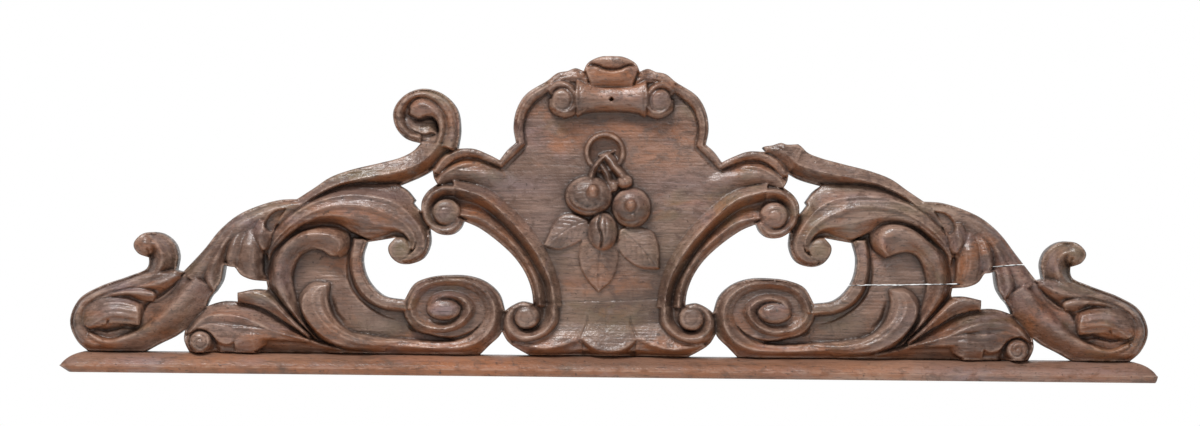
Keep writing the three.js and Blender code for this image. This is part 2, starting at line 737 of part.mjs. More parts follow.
// The crest: a bolster held between two small volutes, with fanned leaves and a cup above it.
function crest() {
  const bolster = strip(RIGHT, [
    line(30, [[-34, 261], [0, 263], [34, 261]]),
    line(47, [[-34, 268], [0, 269], [34, 268]]),
    line(52, [[-34, 278], [0, 278], [34, 278]]),
    line(46, [[-33, 288], [0, 288], [33, 288]]),
    line(36, [[-32, 295], [0, 295], [32, 295]]),
  ]);
  const volutes = [LEFT, RIGHT].flatMap((side) => [
    strip(side, [
      line(33, [
        [65, 290], [52, 297], [40, 292], [33.5, 279], [37, 266], [48, 261], [57, 266], [59.5, 275],
      ]),
      line([44, 50, 50], [
        [62, 286], [51, 291.5], [42.5, 287.5], [38.5, 278], [41, 269.5], [48, 266], [53.5, 269.5],
        [55, 275],
      ]),
      line([38, 40, 42], [
        [59, 282], [51, 286], [45.5, 283.5], [43.5, 277.5], [44.5, 273], [48, 271], [50.5, 272.5],
        [51, 275],
      ]),
    ]),
    button(side, [47.5, 276], [5.5, 6], 42, 50, 8),
    strip(side, [
      line(28, [[66, 294], [54, 304], [44, 306], [36, 309], [26, 306]]),
      line(41, [[62, 291], [51, 298.5], [42, 300], [34, 301], [26, 299]]),
      line(36, [[58, 288], [48, 293], [40, 294], [32, 294], [26, 292]]),
    ]),
  ]);
  const cup = strip(RIGHT, [
    line(34, [[-28, 305], [-21, 316], [0, 322], [21, 316], [28, 305]]),
    line([44, 51, 51, 44], [[-25, 305], [-14, 311.5], [0, 310], [14, 311.5], [25, 305]]),
    line([42, 47, 47, 42], [[-21, 299], [0, 301], [21, 299]]),
    line(36, [[-18, 291], [0, 291], [18, 291]]),
  ]);
  return [bolster, ...volutes, cup];
}

// The fruit: two round fruits on stalks that hang from a ring, with a husk and three leaves.
function fruit() {
  const stalk = (points, from, to) => {
    const spread = (by) => points.map(([out, up]) => [out + by, up]);
    return strip(RIGHT, [
      line(STALK_SEAT, spread(-STALK_HALF_WIDTH)),
      line([from, to], points),
      line(STALK_SEAT, spread(STALK_HALF_WIDTH)),
    ]);
  };
  const ringProfile = [
    [0, GROUND], [RING_WIDTH, GROUND], [RING_WIDTH, FACE], [RING_WIDTH / 2, FACE + 4], [0, FACE],
    [0, GROUND],
  ].map(([width, height]) => new THREE.Vector2(RING_BORE + width, height));
  const ring = new THREE.LatheGeometry(ringProfile, ROUND_SIDES);
  ring.rotateX(Math.PI);
  ring.translate(RING_OUT, 0, RING_UP);
  return [
    toSolid(ring),
    stalk([[-4, 226], [-12, 217], [-18, 208], [-21, 196]], 40, 50),
    stalk([[-2, 226], [-4, 213], [-2, 202], [0, 190]], 42, 46),
    stalk([[1, 226], [1, 216], [6, 208], [14, 192]], 40, 50),
    ball([-23, 181], FRUIT_SEAT, [23.5, 20, FRUIT_TOP - FRUIT_SEAT - 2]),
    ball([21, 169], FRUIT_SEAT, [19.5, 19.5, FRUIT_TOP - FRUIT_SEAT - 3]),
    ball([-18, 183], FRUIT_TOP - 4, [5.5, 5.5, 4], KNOB_SIDES),
    ball([19, 171], FRUIT_TOP - 4.5, [5.5, 5.5, 4], KNOB_SIDES),
    strip(RIGHT, [
      line([40, 40, 40], [[-20, 158], [-19, 142], [-12, 125]]),
      line([50, 55, 46], [[-7, 163], [-7, 143], [-11.5, 125.5]]),
      line([40, 40, 40], [[6, 158], [5, 142], [-11, 125]]),
    ]),
    strip(RIGHT, [
      line(39, [[-66, 129], [-60, 138], [-52, 151], [-36, 162]]),
      line([41, 46, 47], [[-66, 129], [-54, 140], [-38, 149], [-20, 156]]),
      line(39, [[-66, 129], [-50, 127], [-36, 132], [-18, 142]]),
    ]),
    strip(RIGHT, [
      line(39, [[51, 110], [49, 130], [42, 144], [12, 150]]),
      line([41, 46, 47], [[51, 110], [40, 121], [28, 133], [8, 147]]),
      line(39, [[51, 110], [34, 110.5], [20, 116], [4, 130]]),
    ]),
    strip(RIGHT, [
      line(40, [[-11, 84.5], [-24, 98], [-30, 115], [-28, 134]]),
      line([42, 47, 48], [[-11, 84.5], [-12, 98], [-12, 112], [-11, 134]]),
      line(40, [[-11, 84.5], [-1, 94], [7, 110], [8, 132]]),
    ]),
  ];
}

// A thin break through the board, along a line, wide enough to see through.
function throughBreak(points) {
  const half = BREAK_WIDTH / 2;
  const upper = points.map(([out, up]) => [out, up + half]);
  const lower = points.map(([out, up]) => [out, up - half]).reverse();
  return plate([...upper, ...lower], -PAST, CLEAR_DEPTH);
}

function breaks() {
  return [
    throughBreak([[236, 93.6], [268, 94.4], [292, 94.6], [318, 95.6], [350, 96.4]]),
    throughBreak([[380, 113.4], [390, 114.8], [400, 115.6], [420, 117]]),
  ];
}

function pockets(side) {
  return [
    pocket(side, [[323, 165], [335, 162], [343, 153], [344, 146], [338, 141], [333, 150]], 26),
    pocket(side, [[351, 121], [341, 121], [341, 99], [347, 97]], 24),
    pocket(side, [[279, 75], [269, 74], [268, 60], [270, 49], [278, 56], [281, 66]], 18),
  ];
}

// The round well behind the stalks.
function ringWell() {
  const well = new THREE.CylinderGeometry(RING_BORE, RING_BORE, CLEAR_DEPTH, ROUND_SIDES);
  well.translate(RING_OUT, -WELL_FLOOR - CLEAR_DEPTH / 2, RING_UP);
  return toSolid(well);
}

// The board is sawn to its outline, and what stands over it is carved from the same thickness.
function carvedPanel() {
  const openings = join(boardOpenings().map((opening) => plate(opening, -PAST, CLEAR_DEPTH + PAST)));
  const sawn = plate(boardOutline(), 0, CLEAR_DEPTH).subtract(openings);
  const slab = new THREE.BoxGeometry(2 * STRIP_HALF_LENGTH, GROUND + PAST, 2 * PANEL_TOP);
  slab.translate(0, (PAST - GROUND) / 2, 0);
  const ground = toSolid(slab);
  const wings = [LEFT, RIGHT].flatMap((side) => [
    ...endScroll(side), ...finial(side), ...stem(side), ...lowLeaf(side), ...knobBand(side),
    ...wingField(side), ...footScroll(side), ...rolledLeaf(side), ...greatLeaf(side), ...arm(side),
    ...shieldRim(side), ...sideMoulding(side),
  ]);
  const middle = [...armCurl(LEFT), ...armStump(RIGHT), ...shieldField(), ...shieldFoot(), ...crest()];
  const sunk = join([...pockets(LEFT), ...pockets(RIGHT), ringWell()]);
  const relief = join([...wings, ...middle]).subtract(sunk);
  return join([ground, relief, ...fruit()]).intersect(sawn).subtract(join(breaks()));
}

// The strip: a nosing whose section returns round both ends.
function baseMoulding() {
  const roundFoot = STRIP_FILLET + STRIP_QUIRK_RISE;
  const levels = [[0, 0], [STRIP_FILLET, 0], [roundFoot, STRIP_QUIRK]];
  const rise = STRIP_HEIGHT - roundFoot;
  for (let i = 1; i <= STRIP_ROUND_STEPS; i += 1) {
    const turn = (i / STRIP_ROUND_STEPS) * (Math.PI / 2);
    levels.push([roundFoot + rise * Math.sin(turn), STRIP_QUIRK + STRIP_ROUND * (1 - Math.cos(turn))]);
  }
  const position = [];
  levels.forEach(([up, inset]) => {
    const reach = STRIP_HALF_LENGTH - inset;
    const front = -(STRIP_DEPTH - inset);
    position.push(-reach, 0, up, reach, 0, up, reach, front, up, -reach, front, up);
  });
  const index = [0, 1, 2, 0, 2, 3];
  for (let i = 0; i < levels.length - 1; i += 1) {
    for (let k = 0; k < 4; k += 1) {
      const [a, b] = [4 * i + k, 4 * i + ((k + 1) % 4)];
      index.push(a, a + 4, b, b, a + 4, b + 4);
    }
  }
  const last = 4 * (levels.length - 1);
  index.push(last, last + 2, last + 1, last, last + 3, last + 2);
  const geometry = new THREE.BufferGeometry();
  geometry.setAttribute('position', new THREE.Float32BufferAttribute(position, 3));
  geometry.setIndex(index);
  return toSolid(geometry);
}

const carvedOak = new THREE.MeshStandardMaterial({ color: 0x5a463a, roughness: 0.55, metalness: 0 });
const stripOak = new THREE.MeshStandardMaterial({ color: 0x4d3c33, roughness: 0.6, metalness: 0 });

function named(name, solid, material) {
  const mesh = new THREE.Mesh(toGeometry(solid), material);
  mesh.name = name;
  return mesh;
}

// The origin is on the back of the shield, where the panel is held to the wall.
const overdoor = new THREE.Group();
overdoor.add(named('carved_panel', carvedPanel(), carvedOak));
overdoor.add(named('base_moulding', baseMoulding(), stripOak));
overdoor.position.z = -MOUNT_HEIGHT;

export default overdoor;
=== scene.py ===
# %% [markdown]
# # A carved oak overdoor panel
#
# The real panel was sawn from one oak board, pierced with a fretsaw and then carved: a swelling shield
# with hanging fruit stands between two acanthus wings, on a nosing strip. It is old. Its right arm has
# lost its curl, two cracks run through the right wing, and dark wax lies over it all.
#
# This lesson follows the carver. First the blank and its relief are made, then the outline is sawn, and
# last come the wear, the wax and the light. Sizes on the panel are in millimetres, and Blender works in
# metres.

# %% Load the measured frame of the panel
import math

import bpy
import numpy as np
from mathutils import Matrix, Vector


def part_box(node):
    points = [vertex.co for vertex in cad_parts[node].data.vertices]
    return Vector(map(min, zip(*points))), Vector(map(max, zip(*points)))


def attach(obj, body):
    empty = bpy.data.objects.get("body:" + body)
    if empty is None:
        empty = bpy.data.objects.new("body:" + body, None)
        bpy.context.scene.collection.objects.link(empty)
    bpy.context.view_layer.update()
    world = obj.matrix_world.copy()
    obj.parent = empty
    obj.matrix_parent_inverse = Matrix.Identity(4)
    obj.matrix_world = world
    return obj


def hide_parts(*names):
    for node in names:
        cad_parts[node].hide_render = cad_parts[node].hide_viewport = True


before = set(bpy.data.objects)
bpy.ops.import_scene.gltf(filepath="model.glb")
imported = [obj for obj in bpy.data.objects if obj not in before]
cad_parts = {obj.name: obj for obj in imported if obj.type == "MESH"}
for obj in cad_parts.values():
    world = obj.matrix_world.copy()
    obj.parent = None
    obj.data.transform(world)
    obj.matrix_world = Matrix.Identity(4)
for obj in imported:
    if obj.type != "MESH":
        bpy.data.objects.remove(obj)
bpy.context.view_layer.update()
print("packed nodes:", sorted(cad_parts))

# %% [markdown]
# Every place on the panel is written as two numbers, as a carver would mark it: how far it is out from
# the middle line, and how far it is up from the underside of the strip. A line is a list of such pairs,
# out and up in turn. Relief is measured forward from the flat back. The right wing was carved up to 4 mm
# higher than the left one, so one function places both sides.

# %% Sizes of the panel
MM = 0.001
LEFT, RIGHT = -1, 1

STRIP_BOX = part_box("base_moulding")
UNDERSIDE = STRIP_BOX[0].z
STRIP_HEIGHT = 20
FOOT = 20.3
PANEL_TOP = 320.2

GROUND = 17
FIELD = 24
SHIELD_FIELD = 32
EDGE = 27
CREST = 44
LEAF_CREST = 49
FRUIT_TOP = 60.4
RIGHT_LIFT = 4
RING_OUT, RING_UP, RING_BORE = -6, 224, 16


def ease(value, low, high):
    share = np.clip((np.asarray(value, float) - low) / (high - low), 0, 1)
    return share * share * (3 - 2 * share)


def place(side, points):
    out, up = np.array(points, float).reshape(-1, 2).T
    lift = RIGHT_LIFT * ease(out, 180, 215) * (1 - ease(out, 415, 440)) * ease(up, 95, 125)
    return np.column_stack([side * out, up + lift * (side == RIGHT)])


print(f"underside of the strip at {UNDERSIDE:.4f} m")

# %% [markdown]
# Carved lines are never quite circular, so each is drawn as a smooth curve through a few marked points.
# The centripetal form of the Catmull-Rom curve is used, because it never loops or overshoots where two
# marks lie close together.

# %% Smooth curves through marked points
def between(before, start, end, after, share):
    """The curve from start to end, for all the shares of the way at once."""
    spans = [np.sqrt(np.linalg.norm(b - a, axis=-1, keepdims=True)) + 1e-9
             for a, b in ((before, start), (start, end), (end, after))]
    chord = (end - start) / spans[1]
    leave = (start - before) / spans[0] - (end - before) / (spans[0] + spans[1]) + chord
    arrive = chord - (after - start) / (spans[1] + spans[2]) + (after - end) / spans[2]
    leave, arrive = leave * spans[1], arrive * spans[1]
    square, cube = share**2, share**3
    return ((2 * cube - 3 * square + 1) * start + (cube - 2 * square + share) * leave
            + (3 * square - 2 * cube) * end + (cube - square) * arrive)


def smooth_curve(points, step=0.5):
    """Evenly spaced points on the curve through the marks."""
    marks = np.array(points, float).reshape(-1, 2)
    marks = np.vstack([2 * marks[0] - marks[1], marks, 2 * marks[-1] - marks[-2]])
    shares = np.linspace(0, 1, 25)[:-1, None]
    fine = [between(*marks[i:i + 4], shares) for i in range(len(marks) - 3)]
    fine = np.vstack([*fine, marks[-2:-1]])
    run = np.concatenate([[0], np.cumsum(np.linalg.norm(np.diff(fine, axis=0), axis=1))])
    count = max(int(round(run[-1] / step)), 2) + 1
    stations = np.linspace(0, run[-1], count)
    return np.column_stack([np.interp(stations, run, fine[:, k]) for k in range(2)])


def evenly(curve, count):
    """The same curve with another number of points."""
    old, new = np.linspace(0, 1, len(curve)), np.linspace(0, 1, count)
    return np.column_stack([np.interp(new, old, curve[:, k]) for k in range(curve.shape[1])])


def arc(x, z, wide, tall, first, last, count):
    """Marks along an oval, from one angle to another."""
    turns = np.linspace(first, last, count)
    return [[x + wide * math.cos(turn), z + tall * math.sin(turn)] for turn in turns]


print("points on a curve through three marks:", len(smooth_curve([0,0, 8,2, 10,10])))

# %% [markdown]
# The relief is carved into a height map, a table of numbers that says how far the wood stands forward
# from its back at each half millimetre. Sculpt mode would do the same by hand, but with a map every cut
# stays exact and can be made again. The panel has no deep undercuts, so one height at each place is
# enough.

# %% The height map of the block
CELL = 0.5
MAP_LEFT, MAP_RIGHT = -546.0, 546.0
MAP_LOW, MAP_HIGH = 14.0, 326.0
columns = int((MAP_RIGHT - MAP_LEFT) / CELL) + 1
rows = int((MAP_HIGH - MAP_LOW) / CELL) + 1
across = MAP_LEFT + CELL * np.arange(columns)
upward = MAP_LOW + CELL * np.arange(rows)
relief = np.full((rows, columns), float(GROUND))


def window(points, margin=1):
    """The part of the map that some points lie in, as slices."""
    left, low = np.floor((points[:, :2].min(0) - (MAP_LEFT, MAP_LOW)) / CELL).astype(int) - margin
    right, high = np.ceil((points[:, :2].max(0) - (MAP_LEFT, MAP_LOW)) / CELL).astype(int) + margin + 1
    return slice(max(low, 0), min(high, rows)), slice(max(left, 0), min(right, columns))


def settle(points):
    """Spreads loose samples (out, up, value) over their cells: gives the window, values and cover."""
    part = window(points)
    tall, wide = part[0].stop - part[0].start, part[1].stop - part[1].start
    x = (points[:, 0] - MAP_LEFT) / CELL - part[1].start
    z = (points[:, 1] - MAP_LOW) / CELL - part[0].start
    left, low = np.floor(x).astype(int), np.floor(z).astype(int)
    total, weight = np.zeros(tall * wide), np.zeros(tall * wide)
    for right_one, high_one in ((0, 0), (1, 0), (0, 1), (1, 1)):
        share = np.abs(1 - right_one - (x - left)) * np.abs(1 - high_one - (z - low))
        column, row = left + right_one, low + high_one
        inside = (column >= 0) & (column < wide) & (row >= 0) & (row < tall)
        index = (row * wide + column)[inside]
        total += np.bincount(index, (share * points[:, 2])[inside], tall * wide)
        weight += np.bincount(index, share[inside], tall * wide)
    values = total / np.maximum(weight, 1e-9)
    return part, values.reshape(tall, wide), weight.reshape(tall, wide)


def soften(field, reach):
    """Blurs a field, as wear and sanding do. Reach is in millimetres."""
    half = max(int(round(3 * reach / CELL)), 1)
    bell = np.exp(-0.5 * (np.arange(-half, half + 1) * CELL / reach) ** 2)
    bell /= bell.sum()
    for axis in (0, 1):
        padded = np.pad(field, [(half, half) if axis == k else (0, 0) for k in (0, 1)], mode="edge")
        parts = [np.take(padded, range(i, i + field.shape[axis]), axis=axis) * b for i, b in enumerate(bell)]
        field = sum(parts)
    return field


print(f"height map of {columns} by {rows} cells of {CELL} mm")

# %% [markdown]
# Most of the carving is made of bands: a rib, a leaf lobe or a moulding that runs along its own line and
# keeps its section. A band is drawn by two or more lines that run side by side, each with its relief. The
# surface between them is either round, as on a moulding, or scooped with a gouge, which leaves a crisp
# ridge on each line. Buttons and balls are turned forms. Where two forms meet, the higher one shows.

# %% Gouges: bands, buttons, balls, plates
SAMPLE = 0.36
carved = []


def keep_higher(points):
    part, values, weight = settle(points)
    old = relief[part]
    relief[part] = np.where((weight > 0.5) & (values > old), values, old)
    carved.append(len(points))


def follow(side, lines):
    """The lines of a band, as points (out, up, relief), all with the same number of stations."""
    curves = [smooth_curve(place(side, points), SAMPLE) for _, points in lines]
    count = max(len(curve) for curve in curves)
    run = np.linspace(0, 1, count)
    heights = [np.atleast_1d(height) for height, _ in lines]
    reliefs = [np.interp(run, np.linspace(0, 1, len(height)), height) for height in heights]
    return [np.column_stack([evenly(curve, count), height]) for curve, height in zip(curves, reliefs)]


def strip(side, lines, scoop=None):
    """A carved band. Scoop is the depth of the gouge's cut as a share of its width, or None if round."""
    tracks = follow(side, lines)
    outer = [2 * tracks[0] - tracks[1], *tracks, 2 * tracks[-1] - tracks[-2]]
    for k, (near, far) in enumerate(zip(tracks, tracks[1:])):
        width = np.linalg.norm((far - near)[:, :2], axis=1)
        share = np.linspace(0, 1, int(width.max() / SAMPLE) + 2)[:, None, None]
        if scoop is None:
            sheet = between(outer[k], near, far, outer[k + 3], share)
        else:
            depth = scoop[k] if isinstance(scoop, list) else scoop
            sheet = near * (1 - share) + far * share
            sheet[..., 2] -= 4 * depth * width * (share * (1 - share))[..., 0]
        keep_higher(sheet.reshape(-1, 3))


def button(side, middle, half, shoulder, top, power=2.0):
    """A rounded button: relief rises from its shoulder to its top."""
    x, z = place(side, [middle])[0]
    part = window(np.array([[x - half[0], z - half[1]], [x + half[0], z + half[1]]]))
    off = np.hypot((across[part[1]][None, :] - x) / half[0], (upward[part[0]][:, None] - z) / half[1])
    dome = shoulder + (top - shoulder) * np.clip(1 - off**power, 0, 1) ** 0.5
    relief[part] = np.where((off <= 1) & (dome > relief[part]), dome, relief[part])
    carved.append(1)


def ball(middle, seat, half):
    button(RIGHT, middle, half[:2], seat, seat + half[2])


def inside(outline):
    """True for each cell of the map that lies inside a closed outline."""
    ends = np.roll(outline, -1, axis=0)
    parity = np.zeros((rows, columns + 1), bool)
    for (x0, z0), (x1, z1) in zip(outline, ends):
        crossed = np.nonzero((upward >= min(z0, z1)) & (upward < max(z0, z1)))[0]
        if len(crossed):
            at = x0 + (x1 - x0) * (upward[crossed] - z0) / (z1 - z0)
            column = np.clip(np.ceil((at - MAP_LEFT) / CELL), 0, columns).astype(int)
            np.logical_xor.at(parity, (crossed, column), True)
    return np.logical_xor.accumulate(parity, axis=1)[:, :columns]


def plate(outline, height):
    """Fills a closed outline up to a flat height."""
    relief[inside(outline) & (relief < height)] = height
    carved.append(1)


def carve(*forms, sides=(LEFT, RIGHT)):
    """Carves some forms, first all on one side and then on the other."""
    for side in sides:
        for form in forms:
            form(side)
    print(f"carved {', '.join(form.__name__ for form in forms)}: {sum(carved)} samples so far")


print(f"bands are sampled every {SAMPLE} mm, along and across")

# %% [markdown]
# Finer tools come after: a veiner cuts grooves, and several grooves side by side flute a leaf. A groove
# is deepest in its middle and runs out at both ends, as the tool does. Pockets are sunk between the
# forms, and leave the near black recesses that give the carving its depth.

# %% Veiners and sinking tools
def cut_along(curve, width, depth, run_out=0.25, flare=1.0):
    """A groove of that width and depth along a curve of points on the map."""
    ahead = np.gradient(curve, axis=0)
    normal = np.column_stack([-ahead[:, 1], ahead[:, 0]]) / (np.linalg.norm(ahead, axis=1)[:, None] + 1e-9)
    run = np.linspace(0, 1, len(curve))
    fade = np.clip(np.minimum(run, 1 - run) / run_out, 0, 1) ** 0.6
    share = np.linspace(-1, 1, int(width / SAMPLE) + 4)[:, None]
    section = (1 - np.abs(share) ** flare) * depth * fade[None, :]
    spread = curve[None, :, :] + share[..., None] * normal[None, :, :] * (width / 2)
    points = np.concatenate([spread, section[..., None]], axis=2).reshape(-1, 3)
    part, values, weight = settle(points)
    relief[part] -= np.where(weight > 0.3, values, 0)
    carved.append(len(points))


def groove(side, width, depth, points, run_out=0.25, flare=1.0):
    cut_along(smooth_curve(place(side, points), SAMPLE), width, depth, run_out, flare)


def grooves(side, cuts):
    for cut in cuts:
        groove(side, *cut)


def pocket(side, points, floor):
    """Sinks all that stands over a closed line of marks down to a floor."""
    low = inside(smooth_curve(place(side, [*points, *points[:2]])))
    relief[low] = np.minimum(relief[low], floor)
    carved.append(1)


print("lines of samples across a groove of 2 mm:", int(2 / SAMPLE) + 4)

# %% [markdown]
# ## The outer scroll of each wing
#
# The wing ends in a scroll: a broad blade rolls back over a fluted barrel, and a band below carries both.
# The blade is a round band of three lines, and the barrel is scooped, so that its flutes end in crisp
# ridges. Thin lines follow the rolled edge, and a hollow lies under the barrel's lip.

# %% Carve the end scrolls
def end_scroll(side):
    strip(side, [
        (20, [500,20, 524,20, 538,36, 540,54, 531,73, 510,86, 480,97, 455,104, 427,101]),
        ([38, 41, 43, 43], [500,27, 519,30, 529,42, 531,56, 523,69, 505,80, 480,89, 457,97, 428,99.5]),
        ([34, 36, 40, 41], [500,31, 514,35, 522,47, 523,59, 515,70.5, 500,77, 480,81, 458,86, 428,97]),
    ])
    strip(side, [
        ([36, 40, 42], [519,72, 500,79, 480,83, 465,84, 455,81]),
        ([38, 46, 45], [517,71, 500,76.5, 480,79.5, 465,79, 453,77]),
        ([34, 38, 38], [514,70, 500,73.5, 480,76.5, 467,72, 456,71.5]),
    ])
    strip(side, [
        ([38, 40, 42], [480,88, 465,92, 450,97, 437,102]),
        ([42, 48, 46], [474,85, 460,86.5, 446,90, 430,97]),
        ([36, 38, 38], [466,82.5, 456,82, 444,83.5, 428,95]),
    ], scoop=-0.05)
    strip(side, [
        ([36, 40, 40], [527,49, 524,62, 515,70, 500,74, 485,74.5, 471,70]),
        ([39, 45, 46], [524,47, 518,59, 506,67, 492,69.5, 469,66]),
        ([41, 48, 49], [521.5,45.5, 514,54.5, 504,61.5, 490,63.5, 468,60]),
        ([42, 49, 50], [519.5,44.5, 511,50, 502,55.5, 490,57.5, 468,54]),
        ([40, 43, 44], [518,43.5, 509.5,45.5, 501,48.5, 490,49.5, 469,47.5]),
    ], scoop=0.09)
    grooves(side, [
        (1.5, 1.1, [523,54, 511,63, 493,67, 471,64]),
        (1.5, 1.1, [519.5,49, 509,57.5, 492,61.5, 470,58.5]),
        (1.5, 1.1, [516,46, 506,51.5, 491,54.5, 470,51.5]),
    ])
    strip(side, [
        ([34, 35, 35, 35, 36], [517,42, 500,40, 480,46, 466,55, 461,67, 446,77, 433,88, 426,98]),
        ([34, 34, 34, 35, 36], [518,40, 500,34, 482,39, 464,49, 452,62, 440,73, 427,86, 417,97]),
        ([40, 44, 46, 45], [519,38, 508,32, 498,30.5, 482,34.5, 458,45, 445,55, 433,67, 411,94]),
        (EDGE, [522,20, 500,19, 466,19, 444,31, 424,43, 405,65, 393,82]),
    ])
    grooves(side, [
        (3.0, 5.0, [499,52.5, 500.5,48, 499,43.5], 0.1),
        (4.0, 3.0, [516.5,41.5, 508,43.5, 500,40], 0.2, 1.4),
        (4.0, 3.0, [498,44, 484,44.5, 470,43.5], 0.15, 1.5),
        (1.6, 1.0, [505,24.5, 525,27, 534.5,41, 536,54, 527.5,71, 508,83, 480,93.5, 455,101]),
        (2.0, 1.4, [530,70, 515,74.5, 500,76.5, 480,77.5, 468,74]),
        (2.4, 2.2, [466,71, 452,70.5, 441,77, 432,87.5, 426,97]),
        (1.5, 1.1, [505,82.5, 482,87, 461,96, 446,102]),
        (1.4, 1.0, [500,79.5, 480,83.5, 464,88, 450,94]),
        (1.5, 0.7, [516,27, 500,23.5, 470,24.5, 447,36, 427,50, 409,71]),
        (2.0, 2.2, [473,71, 469,64, 467.5,55, 468.5,45]),
    ])


def finial(side):
    strip(side, [
        ([30, 26, 24], [470,94, 461,104, 459,114, 461,121, 467,124]),
        ([42, 44, 43, 44], [458,93, 449,105, 447,117, 452,127, 462,130]),
        (24, [437,97, 432,112, 435,129, 449,140, 467,139]),
    ])
    button(side, [464.5, 128], [11.5, 11.5], 30, 45)
    grooves(side, [
        (1.6, 1.1, [442,99, 437,111, 440,124, 450,133.5, 461,136]),
        (1.5, 1.0, [452,100, 449,110, 450.5,119, 456,125]),
        (1.4, 0.9, [439,98, 434.5,112, 437.5,126, 449,136.5, 462,138.5]),
        (1.5, 1.0, [446,98, 441.5,110, 443.5,122, 451,130, 459,133]),
        (3.2, 4.0, [461,117, 460,121, 462.5,123.5], 0.2),
        (1.4, 1.0, [459,117, 466,117.5, 473,122]),
    ])


carve(end_scroll, finial)

# %% [markdown]
# ## The stem and its sheaths
#
# From the end scroll a stem rises to the arm, wrapped in overlapping leaf sheaths. Each sheath is a lobe
# with a rib, laid over the one behind. They are scooped bands, with a veiner line beside each rib.

# %% Carve the stems
def stem(side):
    strip(side, [
        (EDGE, [428,99, 405,125, 390,144, 372,159, 350,169, 330,174.5, 306,177]),
        ([42, 44, 40], [418,94, 399,116, 384,135, 367,149, 348,159, 330,165.5, 300,171]),
        ([34, 36], [406,88, 388,108, 374,125, 358,138, 342,146, 330,150, 308,161]),
    ])
    strip(side, [
        ([36, 33, 30], [385,139, 397,120, 407.5,101, 407,91, 396,81.5]),
        ([44, 47, 47, 43], [377,142, 388,124, 396.5,105, 398,93, 394,82.5]),
        ([40, 38, 36], [370,141, 380,124, 386,107, 389,95, 392,83]),
    ])
    strip(side, [
        ([38, 36, 33], [378,142, 384,126, 385,113, 380,105.5]),
        ([40, 48, 46], [370,145, 375.5,128, 378.5,114, 377.5,106]),
        ([38, 44, 40], [362,145, 367,128, 371,113, 374,105]),
    ])
    strip(side, [
        ([37, 43, 43, 34], [366,142, 371,120, 374,103]),
        ([39, 48, 48, 42], [360,145, 363.5,118, 366,95]),
        ([39, 48, 49, 43], [353,145, 355,118, 354,91.5]),
        ([36, 38, 34, 28], [345,143, 345.5,118, 343,90.5]),
    ])
    strip(side, [
        ([44, 40, 38], [350,153, 357,139, 355,129.5, 348,123.5]),
        ([46, 50, 46], [343,152, 348,139, 348.5,130, 345,123.8]),
        ([44, 41, 38], [333,150, 338,137, 339.5,128.5, 342,123.8]),
    ])
    grooves(side, [
        (1.6, 1.0, [421,99.5, 400,123, 386,141, 369,155, 348,165, 327,171]),
        (1.5, 1.0, [411,92, 393,114, 379,132, 362,146, 345,155.5, 328,161]),
        (1.6, 1.1, [384,134, 395,115, 401.5,97]),
        (1.5, 1.1, [380,130, 389,111, 393,91]),
        (1.4, 0.9, [368,140, 374,124, 376,111]),
        (1.8, 1.5, [366,132, 369,116, 366,103, 359,97]),
        (1.8, 1.6, [356,127, 356.5,112, 350,96]),
        (1.4, 1.0, [348,148, 352,138, 351.5,130]),
    ])
    for step in range(4):
        out, up = 419 - 2 * step, 94.5 + 2.4 * step
        groove(side, 1.1, 0.9, [out, up, out - 4.5, up + 2.5])


carve(stem)

# %% [markdown]
# ## The low leaf
#
# A short leaf lies along the strip below the stem and curls round a button at its end. Its fold stands up
# behind it. Three veins run out from its root.

